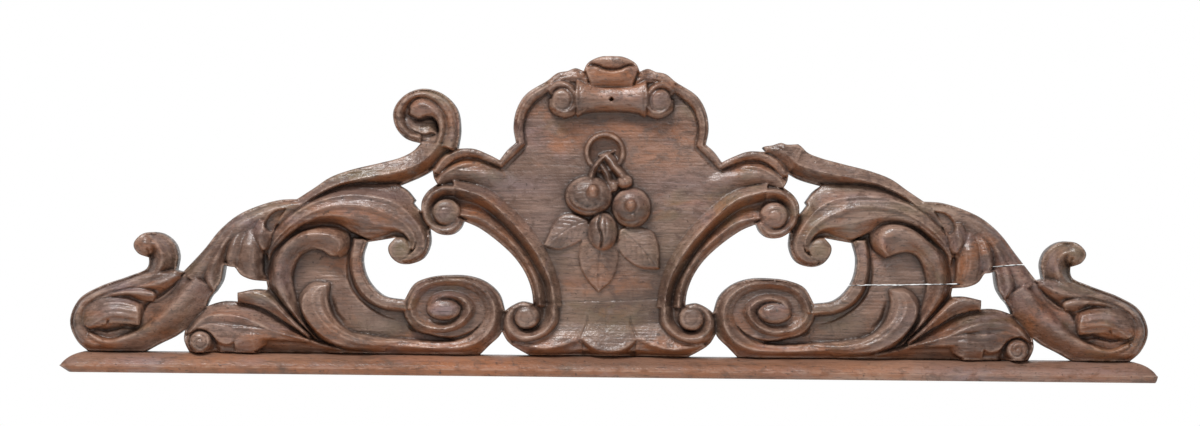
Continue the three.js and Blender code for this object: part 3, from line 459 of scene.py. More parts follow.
# %% Carve the low leaves
def low_leaf(side):
    strip(side, [
        ([36, 37, 34], [352,33, 330,36.5, 308,36, 290,31, 268,25]),
        ([29, 29, 28], [354,26, 330,28.5, 306,28, 288,25, 266,22]),
        ([24, 24, 24], [356,20, 330,20, 305,20, 286,20, 264,20]),
    ], scoop=0.08)
    strip(side, [
        (EDGE, [423,39, 414,53, 399,66, 383,71.5, 370,72, 352,68, 330,56, 299,36]),
        ([38, 46, 42], [419,40, 407,53, 392,57.5, 372,57, 354,51.5, 336,43, 299,33.5]),
        ([34, 41, 38], [413,42, 402,45, 389,44, 374,40, 360,42, 340,39.5, 299,32]),
    ], scoop=0.06)
    strip(side, [
        ([38, 44, 44, 38], [410,45, 396,49, 380,47, 362,46, 348,45, 330,41, 302,33.5]),
        ([36, 42, 42, 36], [407,43.5, 398,40.5, 390,31.5, 381,29, 372,32, 352,36, 302,32.5]),
        ([33, 36, 30], [405,43, 396,37.5, 389,29.5, 381,27, 373,28, 357,31, 340,33]),
    ], scoop=0.05)
    strip(side, [
        ([41, 43, 42], [376,36, 364,43, 351,45, 338,42]),
        ([42, 46, 40], [373.5,30, 362,36, 350,37, 338,38]),
        ([34, 38, 30], [373,22.5, 362,21, 350,24, 337,34.5]),
    ])
    strip(side, [
        (26, [372,82, 358,85, 343,84, 328,70, 313,53, 299,39]),
        ([42, 44, 42], [371,79, 358,80.5, 345,78, 330,66, 314,50, 299,37]),
        (36, [370.5,71.5, 358,69, 345,65, 330,56, 314,46, 299,35]),
    ])
    button(side, [408.5, 31.5], [15, 14], 24, 38)
    button(side, [408, 31], [10.5, 10.3], 36, 44, 5.0)
    grooves(side, [
        (1.5, 1.1, [398,60, 380,61, 362,58, 340,50, 318,41]),
        (1.7, 1.4, [400,51.5, 381,51, 362,48, 340,43.5, 320,38.5]),
        (1.5, 1.1, [366,67, 349,63, 332,54, 315,44]),
        (1.5, 1.2, [369,38, 362,40.5, 352,41, 343,39]),
        (1.4, 1.0, [368,29, 360,31.5, 351,31]),
        (1.8, 1.6, [374,38, 375,32, 373.5,26]),
        (1.4, 1.0, [366,76, 352,75.5, 336,67, 320,53, 305,40]),
    ])
    groove(side, 2.2, 2.8, arc(408, 31, 12.2, 11.8, -0.9, 3.6, 14), 0.12)
    spiral = [[408 + r * math.cos(turn), 31 + r * math.sin(turn)]
              for r, turn in zip(np.linspace(8.5, 1.5, 18), np.linspace(1.6, 9.6, 18))]
    groove(side, 2.2, 2.6, spiral, 0.1)


carve(low_leaf)

# %% [markdown]
# ## The band with a knob
#
# Inside the stem a band springs from the foot of the wing, swings over and ends in a knob. The two sides
# differ a little, as hand work does, and the right knob is the larger one.

# %% Carve the knob bands and the sunk fields
def knob_band(side):
    outer = [290,32, 304,45, 319,57, 334.5,75.5, 342,92, 341,106, 336,122, 329,129.5, 316,140, 294,147.5,
        275,148, 263,142, 259.5,132, 263,121.5, 270,117]
    crest = [294,36, 306,50, 322,73, 330,90, 331,105, 326,120, 317,131, 303,138.5, 288,139.5, 275,136.5,
        269,130.5, 269.5,124.5, 272,120.5]
    inner = [296,38, 305.5,51, 312,69.5, 316.5,85, 318,97, 315,109.5, 307,120.5, 296,125, 287,123.5, 280,119,
        275,118, 273,118.5]
    if side == RIGHT:
        outer[16:] = [317,138, 307,146, 297,152, 287,155.5, 278,156, 268,153, 261.5,146, 260,137, 264,127,
            271,121, 276,118.5]
        crest[12:] = [317,130, 307,138, 294,144.5, 283,145.5, 274,141, 270.5,134, 272.5,126, 277,121]
        inner[14:] = [299,124, 290,123.5, 284,122, 279,120, 277.5,120]
    strip(side, [
        ([24, 27, 30], outer),
        ([36, 45, 47, 48], crest),
        ([28, 33, 38], inner),
    ])
    grooves(side, [
        (2.0, 1.7, [301,41, 318,60, 333,79, 338,95, 336.5,110, 330,125, 318,135, 301,143]),
        (1.6, 1.0, [300,44, 314,63, 327,82, 331.5,97, 329,111, 322,123, 311,132]),
        (1.5, 1.0, [301,46, 308,60, 319,79, 324,95, 322,108, 315,119, 304,129, 292,131.5]),
    ])


def wing_field(side):
    plate(smooth_curve(place(side, [318,90, 306,122, 264,142, 243,134, 247,112, 240,91, 222,77, 203,75,
        200,46, 165,38, 145,30, 260,24, 298,34, 312,62, 318,90])), FIELD)
    strip(side, [
        (FIELD, [302,118, 306,90, 294,58, 262,36, 225,33]),
        ([FIELD, 27.5, 28, FIELD], [281,122, 284,94, 271,66, 243,46, 215,42]),
        ([FIELD, 28, 28, FIELD], [262,128, 263,98, 252,76, 226,58, 203,52]),
    ])
    strip(side, [
        (31, [243,134, 247,117, 245,102, 238,88, 224,77.5, 203,74.5]),
        (36.5, [246.5,135, 250.5,117, 248.5,101, 241,86.5, 226,75.5, 203,72]),
        (37, [254,135, 257,117, 255,99, 246.5,82, 229,69.5, 203,65.5]),
        (27, [257,136, 260,116, 258,97.5, 249,79.5, 230.5,67, 203,62.5]),
    ], scoop=0.0)
    grooves(side, [
        (1.5, 1.2, [255.5,130, 258.5,114, 256.5,97, 247.5,80.5, 230,68, 206,63.5]),
        (7.0, 3.5, [279,79, 276.5,70, 273,60, 264,50], 0.35, 1.4),
    ])


def field_marks(side):
    """The carver's counting strokes, cut across the sunk field with a chisel."""
    if side == LEFT:
        strokes = [298,103.5, 272,102.5], [290,100, 274,99.5], [243,57, 241.5,42], [236,60, 235,46]
    else:
        strokes = [297,103, 275,102.5], [290,97.5, 272,97], [228,61, 234,41], [220,60, 226,41]
    for stroke in strokes:
        groove(side, 1.5, 1.1, stroke, 0.15)


carve(wing_field, knob_band)

# %% [markdown]
# ## The foot scroll
#
# A strap runs along the foot of the wing, turns up beside the shield and winds into a spiral round a
# button. It is one band with a long gouge cut along it, and the coil inside is a second, narrower one.

# %% Carve the foot scrolls
def foot_scroll(side):
    plate(smooth_curve(place(side, [202,70, 196,52, 176,40, 150,39, 130,50, 122,66, 130,82, 150,91, 178,88,
        196,80, 202,70])), 34)
    strip(side, [
        (EDGE, [268,20, 200,20, 131,20, 113,34, 105,56, 110,81, 130,97, 160,100, 190,95, 203,81, 206,66]),
        ([36, 38, 42, 42, 42], [268,34, 205,28.5, 142,29.5, 122,41, 114,60, 119,80, 138,93.5, 161,95.5,
            185,90, 196,78, 200,66]),
        ([34, 35, 35, 35, 35], [268,43, 210,35, 148,35.5, 130,48, 123,64, 130,80, 147,89, 164,90, 181,85.5,
            190,76, 193,67]),
    ], scoop=[0.06, 0.03])
    strip(side, [
        (33, [206,68, 203,57, 190,44, 165,41.5, 143,49, 132,66, 142,80.5, 160,85, 178,80, 184,70]),
        ([38, 42, 44, 44], [198,68, 196,59, 186,50, 165,46.5, 148,53, 139,66, 146,76, 160,80, 172,77,
            178,71]),
        ([34, 35, 36, 38], [192,68, 190,62, 181,55, 165,51.5, 153,56, 146,66, 151,73, 160,76, 168,74,
            172,70]),
    ], scoop=0.07)
    button(side, [165, 66], [17, 10.5], 36, 45, 3.0)
    grooves(side, [
        (1.5, 0.9, [262,27, 200,24.5, 137,25.5, 118,37, 109.5,58, 114.5,81, 134,95.5, 160,97.8, 188,92.5,
            199.5,80]),
        (1.6, 1.0, [255,39, 205,31.5, 146,32.5, 126,44.5, 118.5,62, 124.5,80, 142,91.5, 162,93, 183,88,
            193,77]),
        (1.4, 0.8, [202,62, 194,49, 176,43, 160,43.5, 144,51, 135.5,66, 144,78.5, 160,82.5, 175,78.5]),
    ])
    groove(side, 1.5, 1.1, arc(166, 64.5, 12.5, 7.5, 0.3, 5.6, 14), 0.12)
    if side == LEFT:
        groove(side, 1.6, 0.9, [260,41, 230,35.5, 210,34.5])


carve(foot_scroll)

# %% [markdown]
# ## The rolled leaf
#
# Inside the wing a leaf rolls over towards the shield. Its flutes run side by side along its whole
# length, so each is a scooped band between two of its lines, and a veiner line is cut in beside the
# ridges.

# %% Carve the rolled leaves
def rolled_leaf(side):
    strip(side, [
        ([30, EDGE, EDGE, 32], [281,91, 295,91.5, 305,85, 311,74, 309.5,62, 299,46, 284,32, 262,24, 225,23]),
        ([40, 45, 43, 36], [281,90.5, 294,88.5, 301.5,82, 306,73.5, 304.5,62, 294,46, 278,34, 256,27.5,
            222,27]),
        ([42, 49, 45, 37], [281,90, 290,86, 295.5,79, 296,71, 292,61, 283,50, 267,38.5, 246,31, 215,30]),
        ([42, 47, 42, 37], [280.5,89.5, 286,83.5, 288,76, 286.5,67, 281,57, 270.5,47, 254,38, 236,33.5,
            208,32.5]),
        ([40, 37, 34, 35], [280,89, 281,82, 281.5,75, 279,64, 273,53.5, 262.5,44.5, 247,38.5, 230,36.5,
            203,35]),
    ], scoop=0.09)
    grooves(side, [
        (1.5, 1.1, [286,88.5, 297,85, 303.5,76, 304,64, 294.5,47.5, 279,35]),
        (1.5, 1.1, [287,83.5, 291.5,77, 291,67, 284,55, 270,42.5, 252,34]),
        (1.4, 1.0, [283,82, 284.5,75, 282,64.5, 275,53.5, 262,44]),
    ])


carve(rolled_leaf)

# %% [markdown]
# ## The great leaf and the arm
#
# The great acanthus leaf sweeps in from the stem on long ribs and turns down into a curl. Over it rises
# the arm, a strap with a sharp ridge. A leaf like this is laid in with a large gouge, rib by rib, and
# then each hollow is split by a vein.

# %% Carve the great leaves and the arms
def great_leaf(side):
    strip(side, [
        ([28, 28, 32, 32, 28], [348,118, 345,131, 338,143, 324,161, 308,172, 290,182, 270,189, 250,191,
            230,190, 211,189.5, 195,174, 187,160, 180,145, 179,130, 186,116, 198,110, 208,110]),
        ([30, 44, 47, 46, 46, 44], [345.5,115, 341.5,129, 335,140, 318,157, 302,168, 284,174.5, 265,178.5,
            245,178.5, 226,175.5, 212,170, 200,160, 191,149, 186,139, 185,130, 190,120.5, 199,115,
            207,114.5]),
        ([30, 46, LEAF_CREST, LEAF_CREST, 48, 45], [343.5,112, 338.5,126, 331,136, 314,151, 298,160.5,
            280,167, 258,169, 240,167, 224,161.5, 210,154.5, 201,147.5, 195,140, 193,132, 194.5,125.5,
            199,120.5, 203,119, 208,118.5]),
    ], scoop=[0.08, 0.12])
    strip(side, [
        ([30, 46, LEAF_CREST, LEAF_CREST, 48], [343.5,112, 338.5,126, 331,136, 314,151, 298,160.5, 280,167,
            258,169, 240,167, 224,161.5, 210,154.5, 201,147.5, 195.5,140, 194,132, 196,126]),
        ([30, 42, 46, 46, 44], [342.5,111, 336.5,124, 328,134, 311,148, 295,156, 278,159, 260,157, 244,153,
            230,150, 216,147.5, 206,143, 200.5,136.5, 198.5,130, 199,126]),
        ([28, 30, 33, 34, 36], [341.5,110, 335,122.5, 326,131, 308,146.5, 292,151.5, 272,151, 258,143,
            243,136.5, 228,139, 216,142.5, 207,140, 202,134, 200.5,129, 200.5,125.5]),
    ], scoop=[0.13, -0.03])
    button(side, [209.5, 125], [12, 12.5], 38, 45, 4.0)
    grooves(side, [
        (1.6, 1.2, [322,158, 305,168.5, 287,177.5, 267,183.5, 246,185, 228,183, 213,179]),
        (1.5, 1.0, [318,155.5, 301,165.5, 283,172.5, 264,176, 245,175.5, 227,172, 212,166, 200,157]),
        (1.6, 1.2, [316,150, 299,158.5, 281,163.5, 260,165, 242,162.5, 226,157.5, 211,151, 202,143]),
        (1.5, 1.0, [309,146.5, 293,153, 276,154.5, 259,150, 244,145.5, 229,145.5, 214,145, 205,140]),
        (1.3, 0.8, [300,171.5, 282,180, 262,184.5, 243,185.5]),
        (1.4, 0.9, [206,178, 196,166, 188,152, 182.5,140, 182.5,129, 189,117.5, 199,112.5]),
        (1.8, 2.2, [199.5,137, 197.5,129, 200,121, 206,116, 213,115], 0.15),
    ])
    for stroke in ([262,173, 248,174], [238,181, 222,178], [282,170, 268,172.5]):
        groove(side, 1.1, 0.7, stroke)


def arm(side):
    strip(side, [
        ([34, 38, 36], [316,173, 297,186, 280,197.5, 260,205, 232,212, 210,218, 197,225, 190,233]),
        ([42, 45, 45], [308,169, 290,181, 270,190, 248,195.5, 222,200.5, 203,205.5, 186,214.5, 171,231]),
        ([28, 22, 22, 26], [302,166, 284,179, 262,188, 238,188, 211,188, 195,195, 177,205, 152,226]),
    ], scoop=[0.05, 0.09])
    grooves(side, [
        (1.5, 0.9, [312,171, 293,183.5, 275,194, 254,200.5, 227,206.5, 206,212, 190,220]),
        (1.7, 1.1, [303,168.5, 286,180.5, 266,189, 243,191.5, 216,194, 199,200, 181,209.5]),
    ])


carve(great_leaf, arm)

# %% [markdown]
# ## The whole curl and the broken end
#
# The left arm still ends in its curl, glued back on long ago along a slanting joint with a dark filler.
# The right arm broke off above the shoulder, and its end is worn smooth in a few rough facets. Nothing
# that the panel has lost is put back.

# %% Carve the ends of the arms
def arm_curl(side):
    strip(side, [
        (EDGE, [152,223, 150,245, 154,266, 168,281, 188,287, 207,280, 218,264, 216,248, 205,235, 190,231]),
        ([44, 46, 46, 43], [160,226, 157.5,246, 162,263, 173,275.5, 189,281, 204,275, 212,262.5, 210,250,
            201.5,240.5, 190,236.5]),
        ([41, 40, 38, 35], [168,229, 166,247, 170,260, 178,269.5, 190,275, 200,270.5, 206.5,261.5, 205.5,252,
            199,244.5, 190,240.5]),
    ])
    strip(side, [
        ([34, 32, 30, 28], [205,259, 197,255.5, 188,255.5, 178,258, 171,250]),
        ([37, 36, 34, 30], [204.5,252, 197,248, 188,247, 179,249, 172,244]),
        ([38, 39, 38, 34], [200,246, 193,242.5, 186,241, 179,242.5, 173,240]),
    ])
    strip(side, [
        ([40, 43, 44, 40], [172,226, 166.5,238, 165,250, 168,261, 177,271, 187,276, 195,275, 201,269]),
        ([44, 48, 50, 46], [176,224, 170,238, 168.5,249, 172,259, 179,266, 187,269.5, 194,268.5,
            199.5,265.5]),
        ([40, 42, 44, 42], [181,219, 173.5,234, 171.5,245, 174,254, 179,259, 185,259.5, 191,257,
            200.5,260.5]),
    ])
    grooves(side, [
        (1.5, 1.0, [155,228, 153.5,246, 158,265, 170.5,278.5, 188.5,284, 205.5,277.5, 215,263.5, 213,249,
            203,238]),
        (1.6, 1.1, [165,231, 162.5,247, 166.5,261, 176,272, 190,277.5]),
        (2.4, 2.6, [190,277.5, 198,275, 203,268, 203.5,260], 0.15),
        (1.5, 1.0, [205,262, 208,254, 203,245.5, 195,240]),
        (3.2, 3.2, [198,257.5, 191,254.5, 184,256.5, 178,256, 173.5,250, 172,242], 0.15),
        (1.3, 0.8, [200,250, 190,248.5, 181,250.5]),
        (1.2, 1.6, [151,239.5, 158,241, 167,240.5], 0.05),
        (1.1, 1.0, [168,240, 166.5,232, 167.5,224], 0.1),
    ])


def arm_stump(side):
    strip(side, [
        ([38, 42, 36], [192,230, 182,235, 168,236.5, 152,232]),
        ([45, 44, 41], [186,216, 176,224, 166,229, 153,230]),
        ([30, 31, 33], [178,206, 170,212, 162,218, 151,225]),
    ], scoop=0.0)
    for facet in ([189,229, 184,223.5], [185.5,230.5, 181,225.5], [172,232, 168,227]):
        groove(side, 1.6, 1.1, facet, 0.2)
    groove(side, 2.2, 0.8, [187,219, 177,225.5, 166,230.5, 154,231], 0.1)


carve(arm_curl, sides=[LEFT])
carve(arm_stump, sides=[RIGHT])

# %% [markdown]
# ## The shield
#
# The shield swells gently towards its middle. A rim runs round its head, and a long moulding of two
# fillets with a cove between them falls along each side, ending in a volute above and below. Three lobes
# with a cove under their edges make its foot.

# %% Carve the shield
def shield_field():
    half = [60,26, 56,50, 56,80, 66,108, 92,143, 122,172, 150,184, 170,190, 176,200, 171,214, 153,222,
        137,222, 112,211, 92,230, 91,252, 83,272, 66,289, 40,292]
    plate(np.vstack([place(LEFT, half), place(RIGHT, half)[::-1]]), SHIELD_FIELD)
    for side in (LEFT, RIGHT):
        strip(side, [
            ([SHIELD_FIELD, 37, 38, 36, SHIELD_FIELD], [0,40, 0,262]),
            ([SHIELD_FIELD, 36, 37, 36, SHIELD_FIELD], [30,45, 36,150, 48,255]),
            ([SHIELD_FIELD, 33, 34, SHIELD_FIELD], [50,48, 52,80, 82,146, 118,188, 84,240]),
        ])
        strip(side, [
            ([32, 34, 34], [96,166, 125,188, 150,195, 168,192]),
            ([33, 40, 37], [84,184, 118,200, 148,203, 170,199]),
            ([32, 33, 32], [84,206, 116,210, 146,213, 168,209]),
        ])


def shield_rim(side):
    strip(side, [
        ([30, 30], [180,204, 169,220, 153,227.5, 137,227.5, 122,222, 110,216]),
        ([40, 42], [175.5,203, 166,216.5, 152,223.5, 137,223.5, 122,218, 110,212.5]),
        ([36, 38], [171,201, 161,212, 150,218.5, 137,219, 124,215, 110,209]),
    ], scoop=[-0.05, 0.0])
    strip(side, [
        ([34, 34, 32], [176,192, 173,199.5, 163,207, 149,213.5, 136,214.5, 121,211]),
        ([39, 39, 33], [173,191, 169,198.5, 160,205, 148,210.5, 136,211, 122,207.5]),
        ([34, 35, 32], [166,190, 163,195.5, 156,200.5, 147,204.5, 136,205, 122,203]),
    ], scoop=0.0)
    strip(side, [
        (30, [112,215, 103,227, 94,234]),
        (42, [111,211, 101,223, 90,233]),
        (38, [109,208.5, 99,218.5, 86,232]),
    ], scoop=[-0.05, 0.0])
    strip(side, [
        (30, [95,231, 98,248, 95.5,265, 86,282, 62,297]),
        (42, [91,231, 93.5,248, 91,263, 82,278, 60,292.5]),
        (38, [86.5,231, 88.5,247, 86,261, 78,274, 58,288]),
    ], scoop=[-0.05, 0.0])
    grooves(side, [
        (2.0, 1.8, [172,200, 161,210.5, 149,216.5, 136,217, 123,213, 109,206.5], 0.1),
        (2.0, 1.8, [106,206, 97,215.5, 84.5,231, 87,247, 84.5,260, 77,272, 62,284], 0.1),
    ])


def side_moulding(side):
    strip(side, [
        (28, [147,153, 132,147, 112,133, 94.5,118, 83.5,102, 77,86, 75,70]),
        (40, [152,161, 128,156, 106,140.5, 88,122, 77,104, 71,87, 69,70]),
        (28, [154,177, 130,169, 108,152, 90,132, 76,111, 66,92, 62,70]),
        ([46, CREST], [156,187, 128,179, 106,161.5, 84,138, 68,115, 58.5,92, 55,70]),
        (35, [157,195, 124,187, 99,168, 76,143.5, 60,118, 51,93, 48,70]),
    ], scoop=[-0.02, 0.1, 0.12, 0.0])
    plate(smooth_curve(place(side, [150,166, 164,179, 179,165, 164,147, 150,156, 150,166])), 34)
    strip(side, [
        (29, [154,191, 171,190, 184,183, 190,168, 187,153, 175,142, 159,139, 149,146, 145,154]),
        ([46, 47, 46], [155,187, 168,186.5, 179,180, 185,167, 182.5,155, 173,146.5, 160,144.5, 152,150,
            149,156]),
        ([34, 37, 40, 43], [156,180, 165,180.5, 174,175.5, 178.5,165.5, 176,157, 169,150.5, 162,150,
            157,153.5, 154,158]),
    ])
    button(side, [164, 162.5], [14.5, 13.5], 38, 46.5, 3.5)
    grooves(side, [
        (2.2, 2.4, [152,176, 164,178, 174,172, 177,161, 171.5,151, 161,149.5], 0.2),
        (1.8, 1.7, [157,158, 160,167, 168,167.5, 171,160, 165.5,154.5], 0.25),
    ])
    plate(smooth_curve(place(side, [68,64, 82,74, 94,60, 84,46, 70,52, 68,64])), 32)
    strip(side, [
        (30, [49,71, 50,53, 60,40, 76,33, 91,31, 103,40, 106,56, 99,69, 87,75, 75,73]),
        ([CREST, 46, 45], [55,71, 56,56, 64,45, 77,39, 90,39.5, 99,47, 101,58, 96,67, 87,71, 79,70]),
        ([30, 33, 38, 41], [62,71, 63.5,59, 69,50.5, 78,45.5, 87,46, 93,51, 94.5,58, 91.5,65, 86,68,
            80,67.5]),
    ])
    button(side, [82.5, 59.5], [13, 12.5], 37, 46, 3.5)
    grooves(side, [
        (2.2, 2.4, [68,66, 69,55, 77,48, 88,48, 94.5,55.5, 92,66], 0.2),
        (1.8, 1.7, [78,66, 75,58, 81,53, 88,57, 86.5,64], 0.25),
        (1.4, 0.8, [150,157.5, 130,151.5, 109,137, 91.5,120, 80.5,103, 74,87]),
        (1.4, 0.9, [158,191, 127,183, 103,165, 80.5,141, 64,117, 55,93, 51.5,72, 53,56, 62,43.5]),
        (1.4, 0.8, [152,184, 131,176.5, 109,159, 87.5,135.5, 72,113, 62.5,92, 59.5,74]),
    ])


def shield_foot():
    for side in (LEFT, RIGHT):
        strip(side, [
            (30, [92,44, 72,52, 52,62, 38,66, 24,66]),
            ([38, 42, 42, 37], [95,33.5, 80,30, 62,28, 46,31.5, 27,39]),
            ([33, 34, 34], [97,29, 82,25, 63,24, 46,25, 27,28]),
            (22, [100,26, 84,20, 66,20, 46,20, 27,20]),
        ], scoop=[0.04, 0.1, 0.05])
    strip(RIGHT, [
        (30, [-24,68, 0,66, 24,68]),
        ([37, 42, 43, 42, 37], [-28,38.5, -15,28.5, 0,25.5, 15,28.5, 28,38.5]),
        ([28, 32, 32, 28], [-29,30, -15,24, 0,22, 15,24, 29,30]),
        (22, [-29,20, 0,20, 29,20]),
    ], scoop=[0.03, 0.1, 0.0])
    for side in (LEFT, RIGHT):
        grooves(side, [
            (2.4, 2.0, [28,38.5, 25,46, 22,54, 21.5,63]),
            (1.5, 1.0, [96,36.5, 80,33.5, 62,31.5, 46,35, 30,43]),
        ])
    grooves(RIGHT, [
        (1.4, 0.7, [-24,42.5, -12,33.5, 0,30, 12,33.5, 24,42.5]),
        (1.5, 1.2, [-3,71, -3.5,56, -2.5,37]),
        (1.3, 1.0, [-24,89, -24.5,74]),
        (1.3, 1.0, [24,89, 23.5,76]),
        (1.3, 1.8, [-77,72.5, -52,74, -27,75, 0,76, 20,77, 45,78.5, 62,80], 0.06),
    ])


shield_field()
carve(shield_rim, side_moulding)
shield_foot()
print("highest place on the shield:", round(relief.max(), 1), "mm")

# %% [markdown]
# ## The crest
#
# Above the shield a bolster is held between two small volutes, with fanned leaves and a small cup on top.
# A nail once went through the bolster, and its hole is still there.

# %% Carve the crest
def crest():
    half = [28,290, 27,305, 36,308.5, 44,305.5, 54,303.5, 63,296, 62,284, 40,262, 30,262]
    for side in (LEFT, RIGHT):
        plate(place(side, half), 40)
    strip(RIGHT, [
        ([36, 34, 34, 36], [-34,260, -26,263.5, 0,265, 26,263.5, 34,260]),
        ([49, 46, 46, 49], [-34,265, -24,268, 0,269.5, 24,268, 34,265]),
        ([54, 50, 50, 54], [-36,277, -20,277, 20,277, 36,277]),
        ([50, 46, 46, 50], [-35,291, -24,288.5, 0,287.5, 24,288.5, 35,291]),
        ([42, 38, 38, 42], [-34,297, -20,294, 0,292.5, 20,294, 34,297]),
    ])
    for side in (LEFT, RIGHT):
        strip(side, [
            ([30, 30], [66,294, 54,304.5, 44,306.5, 36,309.5, 26,306]),
            ([41, 43], [62,292.5, 52,300.5, 42,303, 33,304, 25,300.5]),
            ([42, 45], [58,291, 49,297, 40,299, 32,298.5, 24,295]),
            ([40, 44], [54,289, 46,293.5, 38,294.5, 31,293.5, 23,290.5]),
        ], scoop=0.16)
        button(side, [30.5, 301.5], [6.5, 6], 36, 45)
        strip(side, [
            ([30, 38, 40, 38], [67,289, 57,297.5, 46,296, 36,290, 31.5,277, 34,264.5, 43,259.5, 53,260.5,
                61,267.5, 61.5,277]),
            ([42, 50, 51, 49], [63.5,286, 54.5,292, 46,291.5, 39,286, 35.5,276.5, 38,268, 44.5,264, 52,264.8,
                57,270, 57.5,277]),
            ([38, 44, 45, 46], [60,281.5, 53,286.5, 47,287, 42,283, 39.5,276.5, 41.5,271, 46,268.5,
                50.5,269.5, 53,273, 53,277]),
        ])
        button(side, [48.5, 276.5], [11, 11], 44, 50.5, 5.0)
        grooves(side, [
            (1.9, 2.4, [60.5,275, 58.5,282, 52.5,286.5, 45.5,285.5, 40.5,279.5, 41,272.5, 45.5,269.5], 0.12),
            (1.8, 1.4, [33,294, 31.5,278, 33,262], 0.2),
        ])
    strip(RIGHT, [
        ([46, 44, 44, 46], [-20,290, 0,289.5, 20,290]),
        ([50, 52, 52, 50], [-22.5,297, 0,296.5, 22.5,297]),
        ([46, 53, 54, 53, 46], [-27,308, -18,309.5, -9,306, 0,304.5, 9,306, 18,309.5, 27,308.5]),
    ])
    strip(RIGHT, [
        ([44, 47, 47, 44], [-27,309, -18,311, -9,308, 0,306.5, 9,308, 18,311, 27,309.5]),
        ([44, 49, 49, 44], [-25,312, -14,316.5, 0,317.5, 14,316.5, 25,312]),
        (32, [-29,306, -22,317, 0,323, 22,317, 29,306]),
    ])
    grooves(RIGHT, [
        (2.2, 3.4, [-26.5,310.5, -18,311.8, -9,308.3, 0,306.8, 9,308.3, 18,311.8, 26.5,311], 0.08),
        (1.4, 1.0, [-20,296, -10,294.5, 0,294, 10,294.5, 20,296]),
    ])


NAIL_UP, NAIL_RADIUS, NAIL_DEPTH = 277, 1.8, 9
crest()
nail = np.hypot(across[None, :], upward[:, None] - NAIL_UP)
relief[nail < NAIL_RADIUS] -= NAIL_DEPTH
print(f"carved the crest: {sum(carved)} samples so far")

# %% [markdown]
# ## Hollows and pockets
#
# The bare ground between the forms is brought up to soft hollows, because no gouge leaves a flat floor in
# so narrow a place. Then the deepest pockets are sunk, and the carver's counting strokes are cut.

# %% Sink the hollows and pockets
def fill_hollows(reach, drop):
    """Brings the bare ground between the forms up to a soft hollow, so much lower than they are round it."""
    bare = relief <= GROUND + 0.1
    near = soften((~bare).astype(float), reach)
    level = soften(np.where(bare, 0, relief), reach) / np.maximum(near, 0.02)
    hollow = np.where(near > 0.02, level - drop, GROUND)
    relief[bare] = np.maximum(hollow, GROUND)[bare]


def pockets(side):
    pocket(side, [323,165, 335,162, 343,153, 344,146, 338,141, 333,150], 36)
    pocket(side, [346.5,119, 343,119, 342,99, 345,98], 27)


fill_hollows(3.0, 4.5)
carve(pockets, field_marks)
relief[relief < GROUND] = GROUND

# %% [markdown]
# ## The fruit
#
# Two fruits hang on crossed stalks from a ring, with a husk and three leaves between them. Only here does
# the relief reach its full height, so the board was about 60 mm thick. The fruits are not mirrored.

